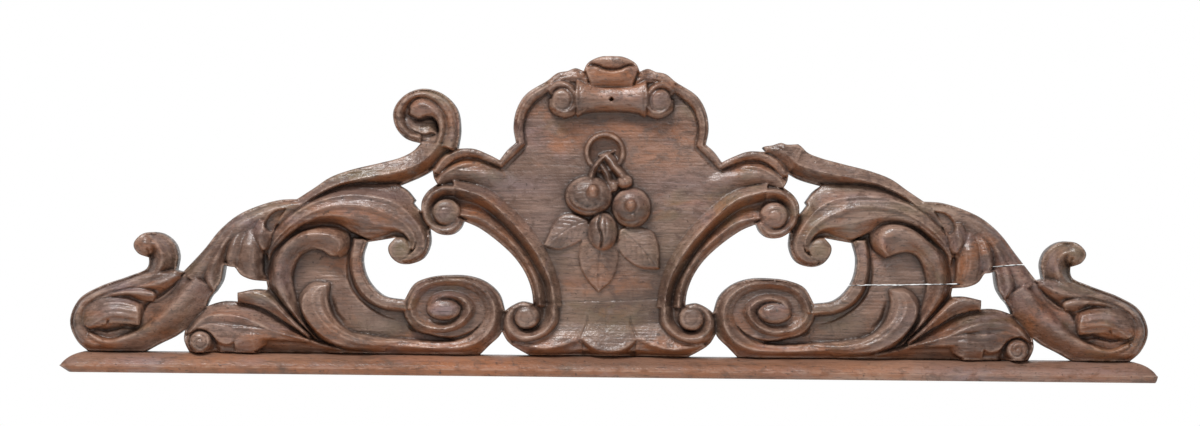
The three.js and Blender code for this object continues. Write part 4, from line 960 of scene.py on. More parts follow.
# %% Carve the fruit
def fruit():
    ring = np.hypot(across[None, :] - RING_OUT, upward[:, None] - RING_UP)
    bead = 37.2 + 2.2 * np.sqrt(np.clip(1 - ((ring - RING_BORE - 2.0) / 2.3) ** 2, 0, 1))
    on_ring = np.abs(ring - RING_BORE - 2.0) < 2.3
    relief[on_ring] = np.maximum(relief, bead)[on_ring]
    well = ring < RING_BORE
    relief[well] = 30 + 5 * (ring[well] / RING_BORE) ** 3

    def stalk(points, heights, half):
        marks = np.array(points, float).reshape(-1, 2)
        across_it = np.array([half, 0.4 * half])
        strip(RIGHT, [(36, marks - across_it), (heights, marks), (36, marks + across_it)])

    def leaf(outer, middle, inner, top):
        strip(RIGHT, [(39.5, outer), (top, middle), (39.5, inner)], scoop=-0.045)
        groove(RIGHT, 2.0, 1.9, middle, 0.12)
        stations = [smooth_curve(edge, 1.0) for edge in (outer, middle, inner)]
        for share in (0.2, 0.34, 0.48, 0.62, 0.76):
            low, mid, high = [edge[int(share * (len(edge) - 1))] for edge in stations]
            forward = stations[1][int(min(share + 0.16, 1) * (len(stations[1]) - 1))]
            for edge in (low, high):
                cut_along(np.linspace(forward, mid + 0.8 * (edge - mid), 30), 1.7, 1.2)

    leaf([-65.5,130.5, -60,143, -56,153, -49,160, -38,163],
         [-65.5,130.5, -52,141, -38,150, -22,156],
         [-65.5,130.5, -51,127.5, -38,131.5, -22,140], [41, 43.5, 44])
    leaf([49,109, 48,131, 42,145, 31,149, 18,151],
         [49,109, 38,122, 26,135, 10,147],
         [49,109, 31,110, 16,119, 7,130], [41, 43.5, 44])
    leaf([-11,85.7, -23.5,99.5, -30,116, -28,134, -18,150],
         [-11,85.7, -11.5,100, -11,118, -8,150],
         [-11,85.7, 2,98, 7.5,114, 7,132, 2,150], [41, 44, 45])
    stalk([-12,215, -8,209, -4,203, -1,192, 0,184], [40, 45, 46], 4.2)
    stalk([-1,224, -8,219, -14,212, -18,204, -20,193], [39, 49, 51], 4.8)
    stalk([-7,223, -1,217, 4,210, 10,203, 17,194], [39, 50, 52], 5.2)
    grooves(RIGHT, [
        (1.5, 1.4, [-3,220, 2,213, 8,205, 14,197]),
        (1.4, 1.2, [-5,221, -12,214, -16.5,205, -18.5,196]),
    ])
    ball([14, 195], 40, [8, 7, 11])
    ball([3, 191], 40, [5, 6, 8])
    button(RIGHT, [-7.5, 145], [15, 20], 38, 56)
    grooves(RIGHT, [
        (3.2, 5.0, [-9,163, -11.5,151, -8,140, -10,127], 0.15, 1.3),
        (1.6, 2.0, [-5,160, -4,149, -6,137, -9.5,128], 0.15),
    ])
    ball([-21.5, 180.5], 38, [23.6, 20, FRUIT_TOP - 42])
    ball([21, 169.5], 38, [19.4, 20, FRUIT_TOP - 43])
    grooves(RIGHT, [
        (3.0, 2.6, [-42,182, -39,173, -31,167.5, -18,165.5, -7,169], 0.2),
        (1.7, 1.3, [-38,185, -33,175, -24,171, -12,172.5]),
        (2.4, 1.8, [5,167, 10,158.5, 20,155, 31,159]),
    ])
    for x, z, width in ((-17.5, 184.5, 7.4), (20, 171.5, 6.8)):
        groove(RIGHT, 2.2, 1.5, arc(x, z, width, 1.1 * width, 2.2, 7.6, 16), 0.15)
    ball([-17.5, 185], FRUIT_TOP - 5.5, [5.0, 6.2, 5.3])
    ball([-23, 176], FRUIT_TOP - 7.5, [2.8, 2.2, 3.6])
    ball([-18, 173], FRUIT_TOP - 8.5, [2.0, 2.6, 3.6])
    ball([20, 172], FRUIT_TOP - 6.4, [4.6, 5.8, 5.6])
    ball([22.5, 161.5], FRUIT_TOP - 8.5, [2.8, 2.6, 3.4])
    dents = (-33, 176, 2.8), (-28, 173, 2.2), (-23, 170.5, 2.4), (-14, 173, 1.8), (-10, 178, 1.6)
    for x, z, reach in dents:
        off = np.hypot(across[None, :] - x, upward[:, None] - z)
        relief[off < 3 * reach] -= (1.8 * np.exp(-(off / reach) ** 2))[off < 3 * reach]


fruit()
print(f"highest {relief.max():.1f} mm, lowest {relief.min():.1f} mm, {sum(carved)} samples")

# %% [markdown]
# ## The sawn outline
#
# A fretsaw followed the drawn outline, and a second one cut the openings between the forms. The outline
# is drawn in smooth stretches that meet at corners, and both sides use the same stretches. Only the ends
# of the two arms differ.

# %% Draw the outline and the openings
GAP_UNDER_VOLUTES = [
    [79,FOOT, 91,27, 101,34, 107,44],
    [107,44, 110,39, 119,30.5, 129,FOOT],
]
FOOT_OF_WING = [129,FOOT, 420,FOOT]
GAP_UNDER_STEM = [
    [420,FOOT, 425.5,34, 424,43.5],
    [424,43.5, 434,36, 450,28, 464,FOOT],
]
FOOT_OF_END_SCROLL = [464,FOOT, 521,FOOT]
BACK_OF_END_SCROLL = [521,FOOT, 532,30, 539.5,50, 531,72, 510,85, 480,96, 463,104, 461,114.5]
FINIAL_HEAD = [461,114.5, 472,119.5, 475.5,128, 466,138.5, 450,139, 437,130, 432,117, 434,102]
LEAF_TIP_BY_STEM = [434,102, 427,100]
TOP_OF_STEM = [427,100, 405,124, 390,143, 372,158, 350,168, 330,173.5, 313,174.5]
TOP_OF_ARM = [313,174.5, 297,185, 280,196.5, 260,204, 232,211, 210,217, 197,224, 190,231.5]
LEFT_CURL = [190,231.5, 205,236, 215.5,248, 217.5,264, 207,279, 188,286, 168,281, 154,266, 150.5,245,
    153,226.5]
RIGHT_BROKEN_END = [
    [190,231.5, 187,234],
    [187,234, 175,234, 170,235.5, 161,233],
    [161,233, 152,231, 155,227, 153,226.5],
]
SHOULDER = [153,226.5, 137,226.5, 122,221, 111,215.5]
NECK = [111,215.5, 103,226, 95,233]
ARCH = [95,233, 97.5,248, 95,265, 86,281, 63,296]
CREST_LEAF = [
    [63,296, 54,303, 44,305],
    [44,305, 36,308, 28,305],
]
CUP = [28,305, 24,313, 12,319.3, 0,PANEL_TOP]

STEM_OPENING = [
    [404,66, 399,76, 394,81.5],
    [394,81.5, 388,92, 385,108],
    [385,108, 379,106.5, 374,106],
    [374,106, 368,98.5, 358,94, 343,92],
    [343,92, 342,83],
    [342,83, 356,83.5, 371,80.5],
    [371,80.5, 371,71],
    [371,71, 388,71, 404,66],
]
MAIN_OPENING = [
    [243,132, 247,117, 245,102, 238,89, 225,78, 205,74.5],
    [205,74.5, 195,91, 180,97.5, 160,99.8, 140,99, 123,93, 110,81, 104.5,64.5],
    [104.5,64.5, 98,69.5, 87,74, 76,72],
    [76,72, 78,86, 84,102, 95,118, 112,134, 132,148, 146,154],
    [146,154, 150,146, 158,140.5, 170,141, 180.5,147],
    [180.5,147, 179.5,131, 186,117, 198,111, 210,111.5, 219,119, 221,128, 214,137],
    [214,137, 228,134.5, 243,132],
]
ARM_OPENING = [
    [211,189, 203,184, 195,174.5],
    [195,174.5, 197,171.5],
    [197,171.5, 192,165.5, 188.5,163.5],
    [188.5,163.5, 188,174, 183,183, 173,191],
    [173,191, 177,198, 177.5,205],
    [177.5,205, 190,198, 211,189],
]


def follow_stretches(side, stretches, step=1.6):
    runs = [smooth_curve(place(side, stretch), step)[:-1] for stretch in stretches]
    return np.vstack(runs)


def half_outline(side):
    arm_end = [LEFT_CURL] if side == LEFT else RIGHT_BROKEN_END
    return follow_stretches(side, [
        *GAP_UNDER_VOLUTES, FOOT_OF_WING, *GAP_UNDER_STEM, FOOT_OF_END_SCROLL, BACK_OF_END_SCROLL,
        FINIAL_HEAD, LEAF_TIP_BY_STEM, TOP_OF_STEM, TOP_OF_ARM, *arm_end, SHOULDER, NECK, ARCH,
        *CREST_LEAF, CUP,
    ])


board = np.vstack([half_outline(LEFT), [[0, PANEL_TOP]], half_outline(RIGHT)[::-1]])
openings = [follow_stretches(side, opening) for side in (LEFT, RIGHT)
            for opening in (STEM_OPENING, MAIN_OPENING, ARM_OPENING)]
print(f"outline of {len(board)} points, {len(openings)} openings")

# %% [markdown]
# ## Wear
#
# A century of handling and waxing has rounded every edge. The map is softened a little all over, and more
# along the sawn edges. Then come the marks of the wood itself: the growth lines that stand up where the
# soft wood between them has shrunk, and small dents.

# %% Wear the relief
def drift(seed, out_size, up_size):
    """Smooth random numbers over the map, about from -1 to 1, that change over those distances in mm."""
    grain = np.random.default_rng(seed)
    tall = int(rows * CELL / up_size) + 4
    wide = int(columns * CELL / out_size) + 4
    coarse = grain.standard_normal((tall, wide)) * 0.6
    x = np.arange(columns) * CELL / out_size + 1
    z = np.arange(rows) * CELL / up_size + 1
    left, low = x.astype(int), z.astype(int)
    sx, sz = ease(x - left, 0, 1), ease(z - low, 0, 1)
    lower = coarse[low][:, left] * (1 - sx) + coarse[low][:, left + 1] * sx
    upper = coarse[low + 1][:, left] * (1 - sx) + coarse[low + 1][:, left + 1] * sx
    return lower * (1 - sz[:, None]) + upper * sz[:, None]


wood = inside(board)
for opening in openings:
    wood &= ~inside(opening)
cover = soften(wood.astype(float), 1.1)
WEAR, EDGE_WEAR = 0.55, 2.6
GROWTH_PITCH = 3.4

# Where the saw cuts the edge, the height just inside is carried out past the line, so that no low rim
# shows.
reach = relief.copy()
for _ in range(5):
    grown = reach.copy()
    for shift, axis in ((1, 0), (-1, 0), (1, 1), (-1, 1)):
        grown = np.maximum(grown, np.roll(reach, shift, axis))
    reach = grown
relief = np.where(cover < 0.93, reach, relief)
relief = soften(relief, WEAR)
relief -= EDGE_WEAR * np.clip(1 - cover, 0, 0.5) * 2

wander = 1.6 * drift(3, 90, 14) + 0.5 * drift(4, 22, 6)
growth = np.sin(2 * np.pi * (upward[:, None] + wander - 0.35 * relief) / GROWTH_PITCH)
relief += 0.17 * growth * (0.6 + 0.6 * drift(5, 45, 4)) + 0.26 * drift(6, 11, 8) + 0.14 * drift(7, 5, 3.5)
print(f"wood covers {wood.mean() * 100:.0f}% of the block")

# %% [markdown]
# ## The blank and its carved face
#
# The board starts as a flat grid with squares of 0.9 mm. Its points are lifted to the height map, its
# edge is extruded back past the wall plane, and the last edge is filled. The blank is then a closed block
# whose front is the carving.

# %% Make the blank
BLANK_PITCH = 0.9
BLANK_BACK = 5 * MM


def read_map(field, x, z):
    """The map's values at places in millimetres."""
    column = np.clip((x - MAP_LEFT) / CELL, 0, columns - 1.001)
    row = np.clip((z - MAP_LOW) / CELL, 0, rows - 1.001)
    left, low = column.astype(int), row.astype(int)
    sx, sz = column - left, row - low
    return ((field[low, left] * (1 - sx) + field[low, left + 1] * sx) * (1 - sz)
            + (field[low + 1, left] * (1 - sx) + field[low + 1, left + 1] * sx) * sz)


def places(piece):
    """Where a piece's points are, in the millimetres of the map: out, up and relief."""
    points = np.empty(len(piece.data.vertices) * 3)
    piece.data.vertices.foreach_get("co", points)
    points = points.reshape(-1, 3) / MM
    return points[:, 0], points[:, 2] - UNDERSIDE / MM, -points[:, 1]


def fresh():
    """Nothing is selected or open before a new piece is begun."""
    if bpy.context.object and bpy.context.object.mode != "OBJECT":
        bpy.ops.object.mode_set(mode="OBJECT")
    bpy.ops.object.select_all(action="DESELECT")


def name_it(name):
    piece = bpy.context.object
    piece.name = name
    piece.data.name = name
    return piece


fresh()
wide, tall = MAP_RIGHT - MAP_LEFT, MAP_HIGH - MAP_LOW
squares = int(wide / BLANK_PITCH), int(tall / BLANK_PITCH)
bpy.ops.mesh.primitive_grid_add(x_subdivisions=squares[0], y_subdivisions=squares[1], size=1)
panel = name_it("carved_panel_relief")
points = np.empty(len(panel.data.vertices) * 3)
panel.data.vertices.foreach_get("co", points)
points = points.reshape(-1, 3)
out = points[:, 0] * wide
up = (points[:, 1] + 0.5) * tall + MAP_LOW
lifted = np.column_stack([out * MM, -read_map(relief, out, up) * MM, up * MM + UNDERSIDE])
panel.data.vertices.foreach_set("co", lifted.ravel())
panel.data.update()

bpy.ops.object.mode_set(mode="EDIT")
bpy.ops.mesh.select_mode(type="EDGE")
bpy.ops.mesh.select_all(action="DESELECT")
bpy.ops.mesh.select_non_manifold()
bpy.ops.mesh.extrude_edges_move()
bpy.ops.object.mode_set(mode="OBJECT")
rim = np.zeros(len(panel.data.vertices), bool)
panel.data.vertices.foreach_get("select", rim)
points = np.empty(len(rim) * 3)
panel.data.vertices.foreach_get("co", points)
points.reshape(-1, 3)[rim, 1] = BLANK_BACK
panel.data.vertices.foreach_set("co", points)
bpy.ops.object.mode_set(mode="EDIT")
bpy.ops.mesh.edge_face_add()
bpy.ops.mesh.select_all(action="SELECT")
bpy.ops.mesh.normals_make_consistent(inside=False)
bpy.ops.object.mode_set(mode="OBJECT")
print(f"blank of {len(panel.data.polygons)} faces")

# %% [markdown]
# ## Sawing
#
# A saw blade leaves straight walls, so each sawn shape is a flat drawing pushed right through the board.
# The openings and the two cracks are first cut out of the outline's own block, which is small and quick,
# and then what the block and the carved blank share is kept. The cracks are thin wedges, a little uneven
# on their way.

# %% Saw the outline, the openings and the cracks
SAW_FRONT = -80 * MM
CRACK_WIDTH = 1.25


def drawing(name, outline, back=0, front=SAW_FRONT):
    """A flat drawing, pushed forward into a closed block."""
    shape = bpy.data.meshes.new(name)
    corners = [(x * MM, back, z * MM + UNDERSIDE) for x, z in outline]
    shape.from_pydata(corners, [], [range(len(corners))])
    piece = bpy.data.objects.new(name, shape)
    bpy.context.collection.objects.link(piece)
    fresh()
    bpy.context.view_layer.objects.active = piece
    piece.select_set(True)
    bpy.ops.object.mode_set(mode="EDIT")
    bpy.ops.mesh.select_all(action="SELECT")
    bpy.ops.mesh.extrude_region_move(TRANSFORM_OT_translate={"value": (0, front - back, 0)})
    bpy.ops.mesh.select_all(action="SELECT")
    bpy.ops.mesh.normals_make_consistent(inside=False)
    bpy.ops.object.mode_set(mode="OBJECT")
    return piece


def apply(piece, kind, **values):
    """Adds a modifier, sets it and applies it."""
    fresh()
    bpy.context.view_layer.objects.active = piece
    piece.select_set(True)
    modifier = piece.modifiers.new(kind.lower(), kind)
    for name, value in values.items():
        setattr(modifier, name, value)
    bpy.ops.object.modifier_apply(modifier=modifier.name)


def saw(piece, tool, operation):
    apply(piece, "BOOLEAN", object=tool, operation=operation, solver="MANIFOLD")
    bpy.data.objects.remove(tool)


def crack(marks, width, seed):
    """The two edges of a crack, as one closed outline. It opens and closes along its way."""
    middle = smooth_curve(marks, 2.5)
    wobble = np.random.default_rng(seed).uniform(-0.28, 0.28, (2, len(middle)))
    taper = 0.5 + 0.5 * ease(np.linspace(0, 1, len(middle)), 0, 0.15)
    upper = middle + np.column_stack([np.zeros(len(middle)), width / 2 * taper + wobble[0]])
    lower = middle - np.column_stack([np.zeros(len(middle)), width / 2 * taper + wobble[1]])
    return np.vstack([lower, upper[::-1]])


pattern = drawing("sawn outline", board)
cuts = [*openings, crack([236,93.6, 268,94.4, 292,94.6, 318,95.6, 350,96.4], CRACK_WIDTH, 11),
        crack([380,113.4, 390,114.8, 400,115.6, 420,117], CRACK_WIDTH, 12)]
for cut in cuts:
    saw(pattern, drawing("sawn opening", cut, 10 * MM, SAW_FRONT - 10 * MM), "DIFFERENCE")
saw(panel, pattern, "INTERSECT")
print(f"sawn panel of {len(panel.data.polygons)} faces")

# %% [markdown]
# ## Lighter mesh
#
# Flat places need few faces and crisp edges many. The Decimate modifier merges faces where the surface is
# smoothest, which keeps the carving sharp with far fewer triangles.

# %% Thin out the mesh
FACE_LIMIT = 194000
CRISP_ANGLE = math.radians(48)
panel.data.calc_loop_triangles()
apply(panel, "DECIMATE", ratio=FACE_LIMIT / len(panel.data.loop_triangles), use_collapse_triangulate=True)
fresh()
bpy.context.view_layer.objects.active = panel
panel.select_set(True)
bpy.ops.object.shade_smooth_by_angle(angle=CRISP_ANGLE)
print(f"thinned panel of {len(panel.data.polygons)} faces")

# %% [markdown]
# ## Where the wood is dark, worn or warm, and where shade and sheen are painted
#
# Wax and dirt gather in hollows, and hands rub the ridges. The difference between the relief and a
# blurred copy of it says which is which: hollows lie under their surroundings, and ridges stand over
# them. The hollows and creases also get painted shade, the ridges a painted highlight with their rubbed
# colour, and the surfaces that face down a warm orange that is partly painted shade. These values are
# written to the mesh as attributes, one number for each point, which a material can read. Listed soft
# patches add warm rubbed places, green tints, painted sheen, dark wax with painted shade, and paler
# places.

# %% Measure hollows, ridges and undersides
def note(piece, name, values):
    layer = piece.data.attributes.new(name, "FLOAT", "POINT")
    layer.data.foreach_set("value", np.ascontiguousarray(values, dtype=np.float32))


open_air = np.where(cover > 0.5, relief, GROUND)
# Painted shade with dirt: hollows, which lie under a blurred copy of the relief, are darkened.
hollow_dirt_and_shade = np.clip((soften(open_air, 5.0) - open_air - 1.2) / 8.5, 0, 1)
# Painted shade with dirt in the fine creases between forms.
crease_dirt_and_shade = np.clip((soften(open_air, 1.6) - open_air) / 1.3, 0, 1)
# Ridges stand over a blurred copy of the relief. They get a paler rubbed colour that is partly a painted
# highlight.
ridge = np.clip((open_air - soften(open_air, 1.3)) / 0.8, 0, 1)
# Surfaces that face down get a warm orange, partly wear and partly painted warm shade.
fall_up = np.gradient(soften(relief, 0.8), CELL, axis=0)
underside = np.clip(fall_up / 1.1 - 0.25, 0, 1) * (1 - 0.7 * hollow_dirt_and_shade)

out, up, forward = places(panel)
side_wall = np.clip((read_map(relief, out, up) - forward) / 8 - 0.1, 0, 1)
for name, field in (("hollow_dirt_and_shade", hollow_dirt_and_shade), ("crease_dirt_and_shade", crease_dirt_and_shade), ("ridge", ridge), ("underside", underside)):
    note(panel, name, read_map(field, out, up))
    print(f"{name}: {field.mean():.3f} on average")
note(panel, "side_wall", side_wall)


def glow(x, z, *spots):
    """Soft patches on the panel, each one a place, two radii and a strength."""
    total = np.zeros(len(x))
    for out_at, up_at, wide_by, tall_by, strength in spots:
        total += strength * np.exp(-((x - out_at) / wide_by) ** 2 - ((z - up_at) / tall_by) ** 2)
    return np.clip(total, 0, 1)


note(panel, "rubbed_warm", glow(
    out, up, (0, 300, 34, 16, 0.8), (5, 284, 30, 8, 0.5), (20, 250, 60, 10, 0.6), (-45, 238, 34, 14, 0.5),
    (48, 222, 40, 20, 0.5), (0, 96, 40, 10, 0.4), (-17.5, 184.5, 5, 6, 1.0), (20, 171, 5, 6, 1.0),
    (-180, 30, 70, 7, 0.9), (180, 30, 70, 7, 0.8), (-60, 32, 30, 8, 0.8), (60, 32, 30, 8, 0.8),
    (-505, 28, 22, 9, 0.8), (500, 34, 30, 12, 0.8), (-455, 55, 16, 16, 0.6), (-130, 168, 22, 9, 0.6),
    (130, 168, 22, 9, 0.6), (-100, 142, 14, 14, 0.6), (100, 142, 14, 14, 0.5), (-80, 110, 8, 20, 0.5),
    (-150, 214, 24, 6, 0.8), (150, 214, 24, 6, 0.7), (-460, 124, 8, 6, 0.7), (-275, 112, 20, 14, 0.6),
    (-255, 160, 40, 9, 0.6), (-200, 200, 26, 8, 0.6), (-190, 268, 12, 9, 0.5), (-340, 34, 40, 8, 0.5),
    (-280, 45, 20, 14, 0.5), (348, 112, 12, 16, 0.8), (330, 60, 16, 20, 0.6), (420, 66, 24, 12, 0.5),
    (-300, 145, 30, 8, 0.5), (460, 70, 24, 8, 0.6), (270, 130, 16, 14, 0.4),
))
note(panel, "greened", glow(
    out, up, (-209, 126, 12, 12, 0.9), (209, 130, 12, 12, 0.7), (-250, 200, 46, 7, 0.8),
    (-345, 78, 20, 9, 0.8), (-225, 48, 34, 12, 0.7), (225, 60, 30, 16, 0.6), (0, 60, 44, 16, 0.5),
    (300, 172, 40, 9, 0.6), (-420, 110, 14, 14, 0.6), (-60, 120, 30, 30, 0.3), (60, 120, 30, 30, 0.3),
    (-470, 44, 20, 8, 0.5), (-185, 250, 12, 8, 0.6), (380, 60, 30, 10, 0.5), (-165, 225, 12, 10, 0.5),
    (-120, 197, 24, 7, 0.5),
))
# Painted sheen: listed lavender-grey patches where the wax catches the light.
note(panel, "painted_sheen", glow(
    out, up, (-95, 190, 36, 10, 0.7), (-75, 235, 14, 12, 0.6), (-60, 150, 30, 26, 0.4),
    (70, 195, 40, 14, 0.5), (-240, 178, 40, 8, 0.5), (-360, 150, 24, 12, 0.6), (-405, 85, 20, 12, 0.6),
    (-325, 95, 10, 22, 0.6), (-185, 262, 12, 10, 0.5), (-165, 66, 14, 8, 0.9), (165, 66, 14, 8, 0.5),
    (-165, 162, 10, 10, 0.5), (400, 90, 30, 20, 0.5), (-480, 84, 24, 6, 0.5), (-500, 60, 16, 10, 0.4),
    (430, 112, 24, 20, 0.5), (300, 60, 20, 14, 0.5), (-375, 50, 24, 12, 0.4), (250, 182, 40, 9, 0.4),
    (-230, 50, 12, 10, 0.4),
))
# Dark wax, with painted shade on the fruits and the ring, under the bolster and in narrow gaps.
note(panel, "dark_wax_and_shade", glow(
    out, up, (-26, 174, 21, 15, 1.0), (22, 164, 18, 15, 1.0), (-8, 145, 14, 22, 0.8),
    (-6, 208, 20, 14, 0.9), (-6, 236, 16, 6, 0.6), (-62, 100, 12, 40, 0.4), (40, 95, 14, 30, 0.4),
    (-45, 158, 12, 10, 0.5), (40, 150, 12, 10, 0.5), (-34, 277, 6, 18, 0.6), (34, 277, 6, 18, 0.6),
    (0, 259, 36, 5, 0.7), (-415, 120, 12, 20, 0.5), (-345, 105, 7, 20, 0.8), (-318, 120, 20, 10, 0.5),
    (-535, 50, 10, 20, 0.6), (-440, 50, 14, 12, 0.5), (-92, 258, 7, 24, 0.5), (92, 258, 7, 24, 0.5),
    (-205, 250, 8, 16, 0.5), (-52, 100, 9, 30, 0.5), (52, 100, 9, 30, 0.5), (535, 55, 10, 24, 0.5),
    (415, 130, 18, 14, 0.4), (170, 228, 20, 8, 0.4), (-46, 270, 14, 10, 0.3), (-190, 95, 30, 6, 0.4),
    (190, 95, 30, 6, 0.4), (-178, 150, 8, 12, 0.5), (178, 150, 8, 12, 0.5),
))
note(panel, "paled", glow(
    out, up, (0, 225, 84, 44, 0.3), (-290, 98, 22, 30, 0.8), (288, 98, 22, 30, 0.7),
    (-240, 56, 40, 18, 0.5), (240, 56, 40, 18, 0.4), (-265, 170, 60, 12, 0.3),
))

# %% [markdown]
# ## The nosing strip
#
# The strip is a separate moulding, planed along its edge: a nosing with a sharp arris, and a quarter
# round over it that falls back to the panel. Its ends are returned, which means that the same profile is
# carved round them. The footprint is extruded level by level, and each level is scaled towards the middle
# of the back edge. The quarter round starts part of the way round its arc, and the left end is cut back a
# little under the arris, where the real strip is knocked.

# %% Plane the nosing strip
STRIP_HALF_LENGTH = STRIP_BOX[1].x
STRIP_DEPTH = -STRIP_BOX[0].y
ROUND_STEPS = 14
ROUND_FOOT, ROUND_FOOT_INSET, ROUND_DEPTH = 7.3, 1.1, 24.4


def strip_profile():
    """How far each level stands up, and how far it is drawn in, in metres."""
    levels = [(0, 2.6), (0.8, 1.7), (2.4, 1.0), (4.2, 0.45), (5.6, 0.1), (6.5, 0), (7.0, 0.4), (7.3, 1.1)]
    first = math.radians(35)
    for step in range(1, ROUND_STEPS + 1):
        turn = first + step / ROUND_STEPS * (math.pi / 2 - first)
        rise = (math.sin(turn) - math.sin(first)) / (1 - math.sin(first))
        inset = ROUND_FOOT_INSET + ROUND_DEPTH * (1 - math.cos(turn) / math.cos(first))
        levels.append((ROUND_FOOT + (STRIP_HEIGHT - ROUND_FOOT) * rise, inset))
    return [(up * MM, inset * MM) for up, inset in levels]


fresh()
bpy.ops.mesh.primitive_grid_add(x_subdivisions=240, y_subdivisions=1, size=1)
strip_piece = name_it("nosing_strip")
bpy.ops.object.mode_set(mode="EDIT")
bpy.ops.mesh.select_mode(type="VERT")
bpy.ops.mesh.select_all(action="SELECT")
bpy.ops.transform.translate(value=(0, -0.5, UNDERSIDE))
low, half_length, depth = 0, 0.5, 1
for up, inset in strip_profile():
    if up > low:
        bpy.ops.mesh.extrude_region_move(TRANSFORM_OT_translate={"value": (0, 0, up - low)})
    narrower = (STRIP_HALF_LENGTH - inset) / half_length
    shallower = (STRIP_DEPTH - inset) / depth
    bpy.ops.transform.resize(value=(narrower, shallower, 1), center_override=(0, 0, UNDERSIDE + up))
    low, half_length, depth = up, STRIP_HALF_LENGTH - inset, STRIP_DEPTH - inset
bpy.ops.mesh.select_all(action="SELECT")
bpy.ops.mesh.normals_make_consistent(inside=False)
bpy.ops.object.mode_set(mode="OBJECT")

hand = np.random.default_rng(31)
points = np.empty(len(strip_piece.data.vertices) * 3)
strip_piece.data.vertices.foreach_get("co", points)
points = points.reshape(-1, 3)
wobble = np.abs(np.interp(points[:, 0], np.linspace(-0.55, 0.55, 110), hand.normal(0, 0.42, 110))) * MM
on_front = points[:, 1] < -1 * MM
points[on_front, 1] += wobble[on_front]
near_end = ease(np.abs(points[:, 0]), STRIP_HALF_LENGTH - 7 * MM, STRIP_HALF_LENGTH)
points[:, 1] += np.where(on_front, 4.5 * MM * near_end**2, 0)
under_arris = np.clip(1 - (points[:, 2] - UNDERSIDE) / (6.6 * MM), 0, 1)
points[:, 0] += 8 * MM * under_arris * ease(-points[:, 0], STRIP_HALF_LENGTH - 24 * MM, STRIP_HALF_LENGTH)
strip_piece.data.vertices.foreach_set("co", points.ravel())
strip_piece.data.update()
bpy.ops.object.shade_smooth_by_angle(angle=math.radians(35))
out, up, forward = places(strip_piece)
# A paler worn stripe with a painted highlight along the arris, and a fainter one at the foot.
arris = 0.8 * np.exp(-((up - 6.7) / 0.9) ** 2) + 0.4 * np.exp(-((up - 1.0) / 0.8) ** 2)
# Painted shade with dirt where the strip meets the foot of the panel.
note(strip_piece, "hollow_dirt_and_shade", 0.1 * ease(up, 19, 20))
# Painted shade with dirt in the crease under the panel.
note(strip_piece, "crease_dirt_and_shade", 0.15 * ease(up, 19.4, 20))
# Painted light: the top of the strip is made paler.
note(strip_piece, "paled", 0.7 * ease(up, 12, 18))
note(strip_piece, "ridge", np.clip(arris, 0, 1))
note(strip_piece, "underside", 0.35 + 0.5 * np.exp(-((up - 5.0) / 2.5) ** 2))
note(strip_piece, "side_wall", np.zeros(len(up)))
note(strip_piece, "rubbed_warm", glow(
    out, up, (-120, 8, 60, 10, 0.7), (-300, 5, 80, 8, 0.5), (110, 8, 50, 10, 0.6), (250, 10, 60, 8, 0.5),
    (-400, 16, 60, 6, 0.5), (-180, 17, 50, 4, 0.6), (0, 4, 60, 5, 0.4),
))
# Painted sheen on the front of the strip.
note(strip_piece, "painted_sheen", glow(
    out, up, (350, 8, 80, 10, 0.7), (480, 10, 60, 12, 0.8), (-470, 14, 30, 6, 0.5), (170, 5, 40, 5, 0.5),
))
note(strip_piece, "dark_wax_and_shade", glow(
    out, up, (60, 14, 80, 8, 0.6), (-50, 16, 60, 6, 0.5), (200, 16, 60, 6, 0.5), (420, 17, 60, 5, 0.5),
    (-230, 17, 60, 5, 0.4), (-420, 18, 60, 4, 0.4), (540, 8, 10, 12, 0.6), (-541, 8, 8, 12, 0.6),
))
print(f"strip of {len(strip_piece.data.polygons)} faces, {2 * STRIP_HALF_LENGTH:.3f} m long")

# %% [markdown]
# ## Old waxed oak
#
# Oak shows fine lines along its grain, darker pores and slow changes of colour; its pale grain lines
# also carry painted glints. Over it lie dark wax and dirt in the hollows, with painted shade in the
# hollows and creases, a warm orange on undersides that is partly wear through the wax and partly
# painted warm shade, a paler rubbed colour with a painted highlight on ridges, and lavender patches of
# painted sheen. All of these are mixed in steps, each steered by a noise texture and one of the
# attributes.

# %% Build the wood finish
def colour(red, green, blue):
    """A colour given on a 0 to 255 scale, as the linear values that a shader wants."""
    linear = [c / 255 / 12.92 if c <= 10 else ((c / 255 + 0.055) / 1.055) ** 2.4 for c in (red, green, blue)]
    return (*linear, 1)


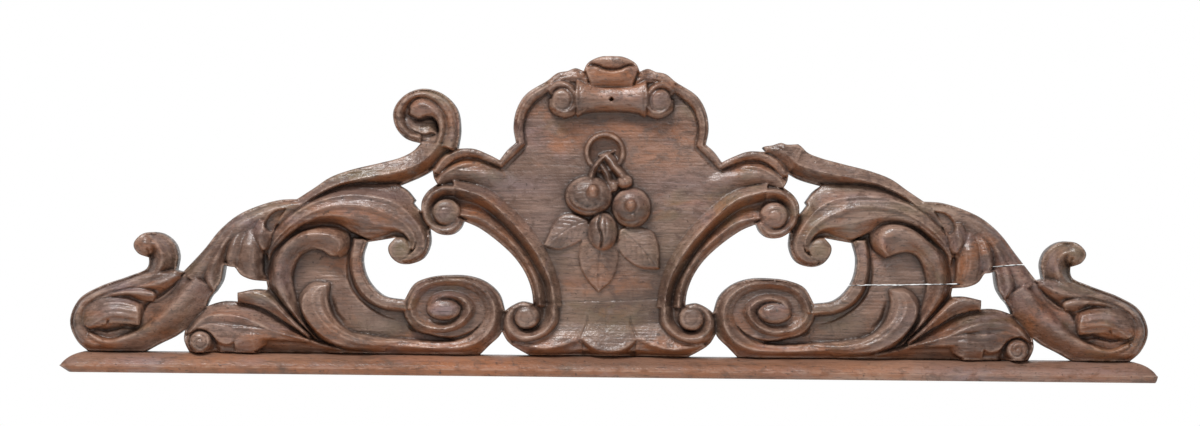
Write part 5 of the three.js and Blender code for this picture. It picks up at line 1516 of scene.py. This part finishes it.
class Finish:
    """A material being built: each call adds one node and gives its output back."""

    def __init__(self, name):
        self.material = bpy.data.materials.new(name)
        self.material.use_nodes = True
        self.nodes = self.material.node_tree.nodes
        self.links = self.material.node_tree.links
        self.shader = self.nodes["Principled BSDF"]
        self.place = self.nodes.new("ShaderNodeTexCoord").outputs["Object"]

    def set(self, socket, value):
        if hasattr(value, "is_output"):
            self.links.new(value, socket)
        else:
            socket.default_value = value

    def stretched(self, scale, turn=(0, 0, 0)):
        node = self.nodes.new("ShaderNodeMapping")
        self.links.new(self.place, node.inputs["Vector"])
        node.inputs["Scale"].default_value = scale
        node.inputs["Rotation"].default_value = turn
        return node.outputs["Vector"]

    def noise(self, scale, size=1.0, detail=4.0, rough=0.55, warp=0.0):
        node = self.nodes.new("ShaderNodeTexNoise")
        self.links.new(self.stretched(scale), node.inputs["Vector"])
        node.inputs["Scale"].default_value = size
        node.inputs["Detail"].default_value = detail
        node.inputs["Roughness"].default_value = rough
        node.inputs["Distortion"].default_value = warp
        return node.outputs["Fac"]

    def attribute(self, name):
        node = self.nodes.new("ShaderNodeAttribute")
        node.attribute_name = name
        return node.outputs["Fac"]

    def span(self, value, low, high, start=0.0, end=1.0):
        node = self.nodes.new("ShaderNodeMapRange")
        node.interpolation_type = "SMOOTHSTEP"
        self.set(node.inputs["Value"], value)
        for socket, number in zip(("From Min", "From Max", "To Min", "To Max"), (low, high, start, end)):
            node.inputs[socket].default_value = number
        return node.outputs["Result"]

    def maths(self, operation, first, second=0.0, third=0.0):
        node = self.nodes.new("ShaderNodeMath")
        node.operation = operation
        node.use_clamp = operation in ("ADD", "MULTIPLY_ADD")
        for socket, value in zip(node.inputs, (first, second, third)):
            self.set(socket, value)
        return node.outputs["Value"]

    def times(self, *values):
        result = values[0]
        for value in values[1:]:
            result = self.maths("MULTIPLY", result, value)
        return result

    def mix(self, under, over, share, blend="MIX"):
        node = self.nodes.new("ShaderNodeMix")
        node.data_type = "RGBA"
        node.blend_type = blend
        self.set(node.inputs["Factor"], share)
        self.set(node.inputs[6], under)
        self.set(node.inputs[7], over)
        return node.outputs[2]

    def ramp(self, value, *stops):
        node = self.nodes.new("ShaderNodeValToRGB")
        self.set(node.inputs["Fac"], value)
        for k, (at, tint) in enumerate(stops):
            stop = node.color_ramp.elements[k] if k < 2 else node.color_ramp.elements.new(at)
            stop.position = at
            stop.color = tint
        return node.outputs["Color"]

    def bump(self, height, strength, distance, below=None):
        node = self.nodes.new("ShaderNodeBump")
        node.inputs["Strength"].default_value = strength
        node.inputs["Distance"].default_value = distance
        self.set(node.inputs["Height"], height)
        if below is not None:
            self.links.new(below, node.inputs["Normal"])
        return node.outputs["Normal"]


def old_oak(name, tone, dullness):
    """Waxed oak. Tone is the wood's own colours: dark, middle, light. Dullness is added to its roughness."""
    wood = Finish(name)
    dark, middle, light = tone
    slow = wood.noise((5, 9, 14), 1.0, 3, 0.5, 0.3)
    streaks = wood.noise((9, 120, 210), 1.0, 5, 0.62, 0.4)
    fine = wood.noise((26, 420, 900), 1.0, 4, 0.6, 0.2)
    lines = wood.noise((3.0, 190, 300), 1.0, 2, 0.4, 0.15)
    speckle = wood.noise((420, 420, 420), 1.0, 3, 0.6)
    patch = wood.noise((26, 30, 34), 1.0, 4, 0.6, 0.5)
    mottle = wood.noise((60, 85, 95), 1.0, 4, 0.65, 0.6)

    base = wood.ramp(slow, (0.34, dark), (0.66, light), (0.5, middle))
    base = wood.mix(base, light, wood.span(streaks, 0.5, 0.74, 0, 0.5))
    base = wood.mix(base, dark, wood.span(streaks, 0.5, 0.3, 0, 0.75))
    warm = wood.span(wood.noise((15, 21, 24), 1.0, 4, 0.6, 0.6), 0.52, 0.66, 0, 0.6)
    handled = wood.times(wood.attribute("rubbed_warm"), wood.span(patch, 0.3, 0.6, 0.3, 1))
    warm = wood.maths("ADD", warm, handled)
    base = wood.mix(base, colour(146, 88, 50), wood.times(warm, 0.85))
    olive = wood.span(wood.noise((13, 16, 19), 1.0, 3, 0.55, 0.4), 0.54, 0.68, 0, 0.5)
    olive = wood.maths("ADD", olive, wood.times(wood.attribute("greened"), 0.8))
    base = wood.mix(base, colour(106, 95, 66), wood.times(olive, 0.85))
    # Painted sheen: lavender-grey patches from noise and from the listed spots.
    painted_sheen_share = wood.span(wood.noise((16, 24, 27), 1.0, 4, 0.6, 0.5), 0.53, 0.68, 0, 0.5)
    painted_sheen_share = wood.maths("ADD", painted_sheen_share, wood.times(wood.attribute("painted_sheen"), 0.8))
    base = wood.mix(base, colour(130, 110, 112), wood.times(painted_sheen_share, 0.8))
    base = wood.mix(base, colour(58, 38, 29), wood.span(fine, 0.46, 0.3, 0, 0.65))
    # Pale lines along the grain, partly grain and partly painted glints.
    base = wood.mix(base, colour(156, 128, 114), wood.span(lines, 0.6, 0.72, 0, 0.4))
    base = wood.mix(base, dark, wood.span(mottle, 0.5, 0.34, 0, 0.7))
    base = wood.mix(base, colour(142, 120, 112), wood.span(mottle, 0.58, 0.72, 0, 0.35))

    # Paler patches. On the strip this is painted light on its top.
    paled = wood.times(wood.attribute("paled"), wood.span(patch, 0.3, 0.6, 0.3, 0.8))
    base = wood.mix(base, colour(158, 128, 112), paled)
    # Dark wax, with painted shade on the fruits and under the forms.
    waxed = wood.times(wood.attribute("dark_wax_and_shade"), wood.span(patch, 0.25, 0.6, 0.55, 0.95))
    base = wood.mix(base, colour(64, 47, 39), waxed)
    rubbed = wood.times(wood.attribute("rubbed_warm"), wood.span(mottle, 0.38, 0.6, 0, 0.55))
    base = wood.mix(base, colour(158, 96, 56), rubbed)

    # A warm orange on surfaces that face down, partly wear and partly painted warm shade.
    under = wood.times(wood.attribute("underside"), wood.span(patch, 0.34, 0.56))
    base = wood.mix(base, colour(142, 84, 46), wood.times(under, 0.75))
    # A paler rubbed colour on ridges, partly wear and partly a painted highlight.
    ridge = wood.times(wood.attribute("ridge"), wood.span(mottle, 0.4, 0.62, 0.05, 1))
    base = wood.mix(base, colour(172, 143, 126), wood.times(ridge, 0.6))
    # Painted shade with dirt in the creases, broken up by speckle.
    crease_dirt_and_shade = wood.times(wood.attribute("crease_dirt_and_shade"), wood.span(speckle, 0.25, 0.6, 0.6, 1))
    base = wood.mix(base, colour(40, 27, 20), wood.times(crease_dirt_and_shade, 0.68))
    # Painted shade with dirt in the hollows, broken up by the patch noise.
    hollow_dirt_and_shade = wood.times(wood.attribute("hollow_dirt_and_shade"), wood.span(patch, 0.2, 0.7, 0.7, 1))
    base = wood.mix(base, colour(44, 30, 23), wood.times(hollow_dirt_and_shade, 0.7))
    base = wood.mix(base, colour(52, 35, 27), wood.times(wood.attribute("side_wall"), 0.8))
    pores = wood.span(wood.noise((70, 700, 1500), 1.0, 2, 0.5), 0.6, 0.68)
    base = wood.mix(base, colour(34, 22, 16), wood.times(pores, 0.6))
    specks = wood.span(wood.noise((230, 230, 230), 1.0, 2, 0.5), 0.66, 0.73)
    base = wood.mix(base, colour(38, 25, 19), wood.times(specks, 0.6))
    wood.links.new(base, wood.shader.inputs["Base Color"])

    gloss = wood.span(patch, 0.3, 0.7, 0.33, 0.48)
    gloss = wood.maths("ADD", gloss, wood.times(wood.attribute("hollow_dirt_and_shade"), 0.3))
    gloss = wood.maths("ADD", gloss, wood.span(speckle, 0.35, 0.65, dullness - 0.08, dullness + 0.08))
    wood.links.new(gloss, wood.shader.inputs["Roughness"])
    wood.shader.inputs["Specular IOR Level"].default_value = 0.5
    wood.shader.inputs["Coat Weight"].default_value = 0.3
    wood.shader.inputs["Coat Roughness"].default_value = 0.22

    dents = wood.noise((160, 160, 190), 1.0, 3, 0.6)
    normal = wood.bump(dents, 0.6, 0.0013)
    normal = wood.bump(streaks, 0.45, 0.0006, normal)
    normal = wood.bump(fine, 0.4, 0.0004, normal)
    normal = wood.bump(lines, 0.35, 0.0006, normal)
    normal = wood.bump(speckle, 0.45, 0.0005, normal)
    wood.links.new(normal, wood.shader.inputs["Normal"])
    wood.links.new(normal, wood.shader.inputs["Coat Normal"])
    return wood.material


panel_tone = (colour(84, 60, 49), colour(114, 87, 73), colour(142, 113, 98))
strip_tone = (colour(84, 60, 46), colour(130, 98, 79), colour(168, 132, 106))
for piece, finish_name, tone, dullness, node, slot_name in (
    (panel, "old waxed oak", panel_tone, 0.02, "carved_panel", "carved_oak"),
    (strip_piece, "rubbed waxed oak", strip_tone, 0.14, "base_moulding", "moulded_oak"),
):
    piece.data.materials.clear()
    piece.data.materials.append(old_oak(finish_name, tone, dullness))
    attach(piece, "root")
    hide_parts(node)
print("finishes:", [material.name for material in bpy.data.materials if material.users])

# %% [markdown]
# ## The studio
#
# The panel stands before white, lit from above and a little from the left, so that every form has a light
# top and a dark underside. The surroundings are a dome that is white behind the panel, fairly bright
# overhead and dark below, which keeps the undersides dark. A small lamp beside the camera draws the
# glints on the wax.

# %% Light the panel
FLOOR_RADIUS, FLOOR_DROP = 1.7, 0.31


def lamp(name, place_at, aim, size, power):
    light = bpy.data.lights.new(name, "AREA")
    light.shape = "RECTANGLE"
    light.size, light.size_y = size
    light.energy = power
    carrier = bpy.data.objects.new(name, light)
    bpy.context.collection.objects.link(carrier)
    carrier.location = place_at
    carrier.rotation_euler = (Vector(aim) - Vector(place_at)).to_track_quat("-Z", "Y").to_euler()
    return carrier


lamp("large lamp above", (-0.55, -1.45, 2.0), (0, 0, 0), (1.0, 0.5), 60)
lamp("small lamp by the camera", (0.5, -2.7, 0.75), (0, 0, 0), (0.3, 0.3), 7)

world = bpy.data.worlds.new("white studio")
world.use_nodes = True
dome = world.node_tree.nodes
dome["Background"].inputs["Color"].default_value = (1, 1, 1, 1)
facing = dome.new("ShaderNodeSeparateXYZ")
world.node_tree.links.new(dome.new("ShaderNodeTexCoord").outputs["Generated"], facing.inputs["Vector"])


def dome_span(value, low, high, start, end):
    node = dome.new("ShaderNodeMapRange")
    node.interpolation_type = "SMOOTHSTEP"
    world.node_tree.links.new(value, node.inputs["Value"])
    for socket, number in zip(("From Min", "From Max", "To Min"), (low, high, start)):
        node.inputs[socket].default_value = number
    if hasattr(end, "is_output"):
        world.node_tree.links.new(end, node.inputs["To Max"])
    else:
        node.inputs["To Max"].default_value = end
    return node


height_light = dome_span(facing.outputs["Z"], -0.5, 0.9, 0.05, 0.55)
backdrop = dome_span(facing.outputs["Y"], 0.6, 0.9, 0.0, 1.0)
world.node_tree.links.new(height_light.outputs["Result"], backdrop.inputs["To Min"])
world.node_tree.links.new(backdrop.outputs["Result"], dome["Background"].inputs["Strength"])
bpy.context.scene.world = world
bpy.context.scene.view_settings.view_transform = "Standard"

fresh()
bpy.ops.mesh.primitive_cylinder_add(vertices=96, radius=FLOOR_RADIUS, depth=0.02, location=(0, 0, 0))
floor = name_it("studio_floor")
bpy.ops.object.mode_set(mode="EDIT")
bpy.ops.transform.translate(value=(0, -0.1, UNDERSIDE - FLOOR_DROP))
bpy.ops.object.mode_set(mode="OBJECT")
pale = bpy.data.materials.new("pale floor")
pale.use_nodes = True
pale.node_tree.nodes["Principled BSDF"].inputs["Base Color"].default_value = (0.86, 0.86, 0.85, 1)
pale.node_tree.nodes["Principled BSDF"].inputs["Roughness"].default_value = 0.8
floor.data.materials.append(pale)

# %% [markdown]
# ## The camera
#
# A long lens 4 m away looks almost straight at the panel, as in a catalogue picture. It is turned about
# half a degree on its own axis, because the real picture was taken slightly askew.

# %% Set the camera
CAMERA_AT = (-0.0102, -4.03, 0.0137)
CAMERA_TILT = math.radians(0.594)
eye = bpy.data.objects.new("camera", bpy.data.cameras.new("camera"))
bpy.context.collection.objects.link(eye)
eye.data.lens = 120
eye.data.sensor_width = 36
eye.matrix_world = (Matrix.Translation(CAMERA_AT) @ Matrix.Rotation(math.pi / 2, 4, "X")
                    @ Matrix.Rotation(CAMERA_TILT, 4, "Z"))
bpy.context.scene.camera = eye
print("camera at", tuple(round(value, 3) for value in eye.location))
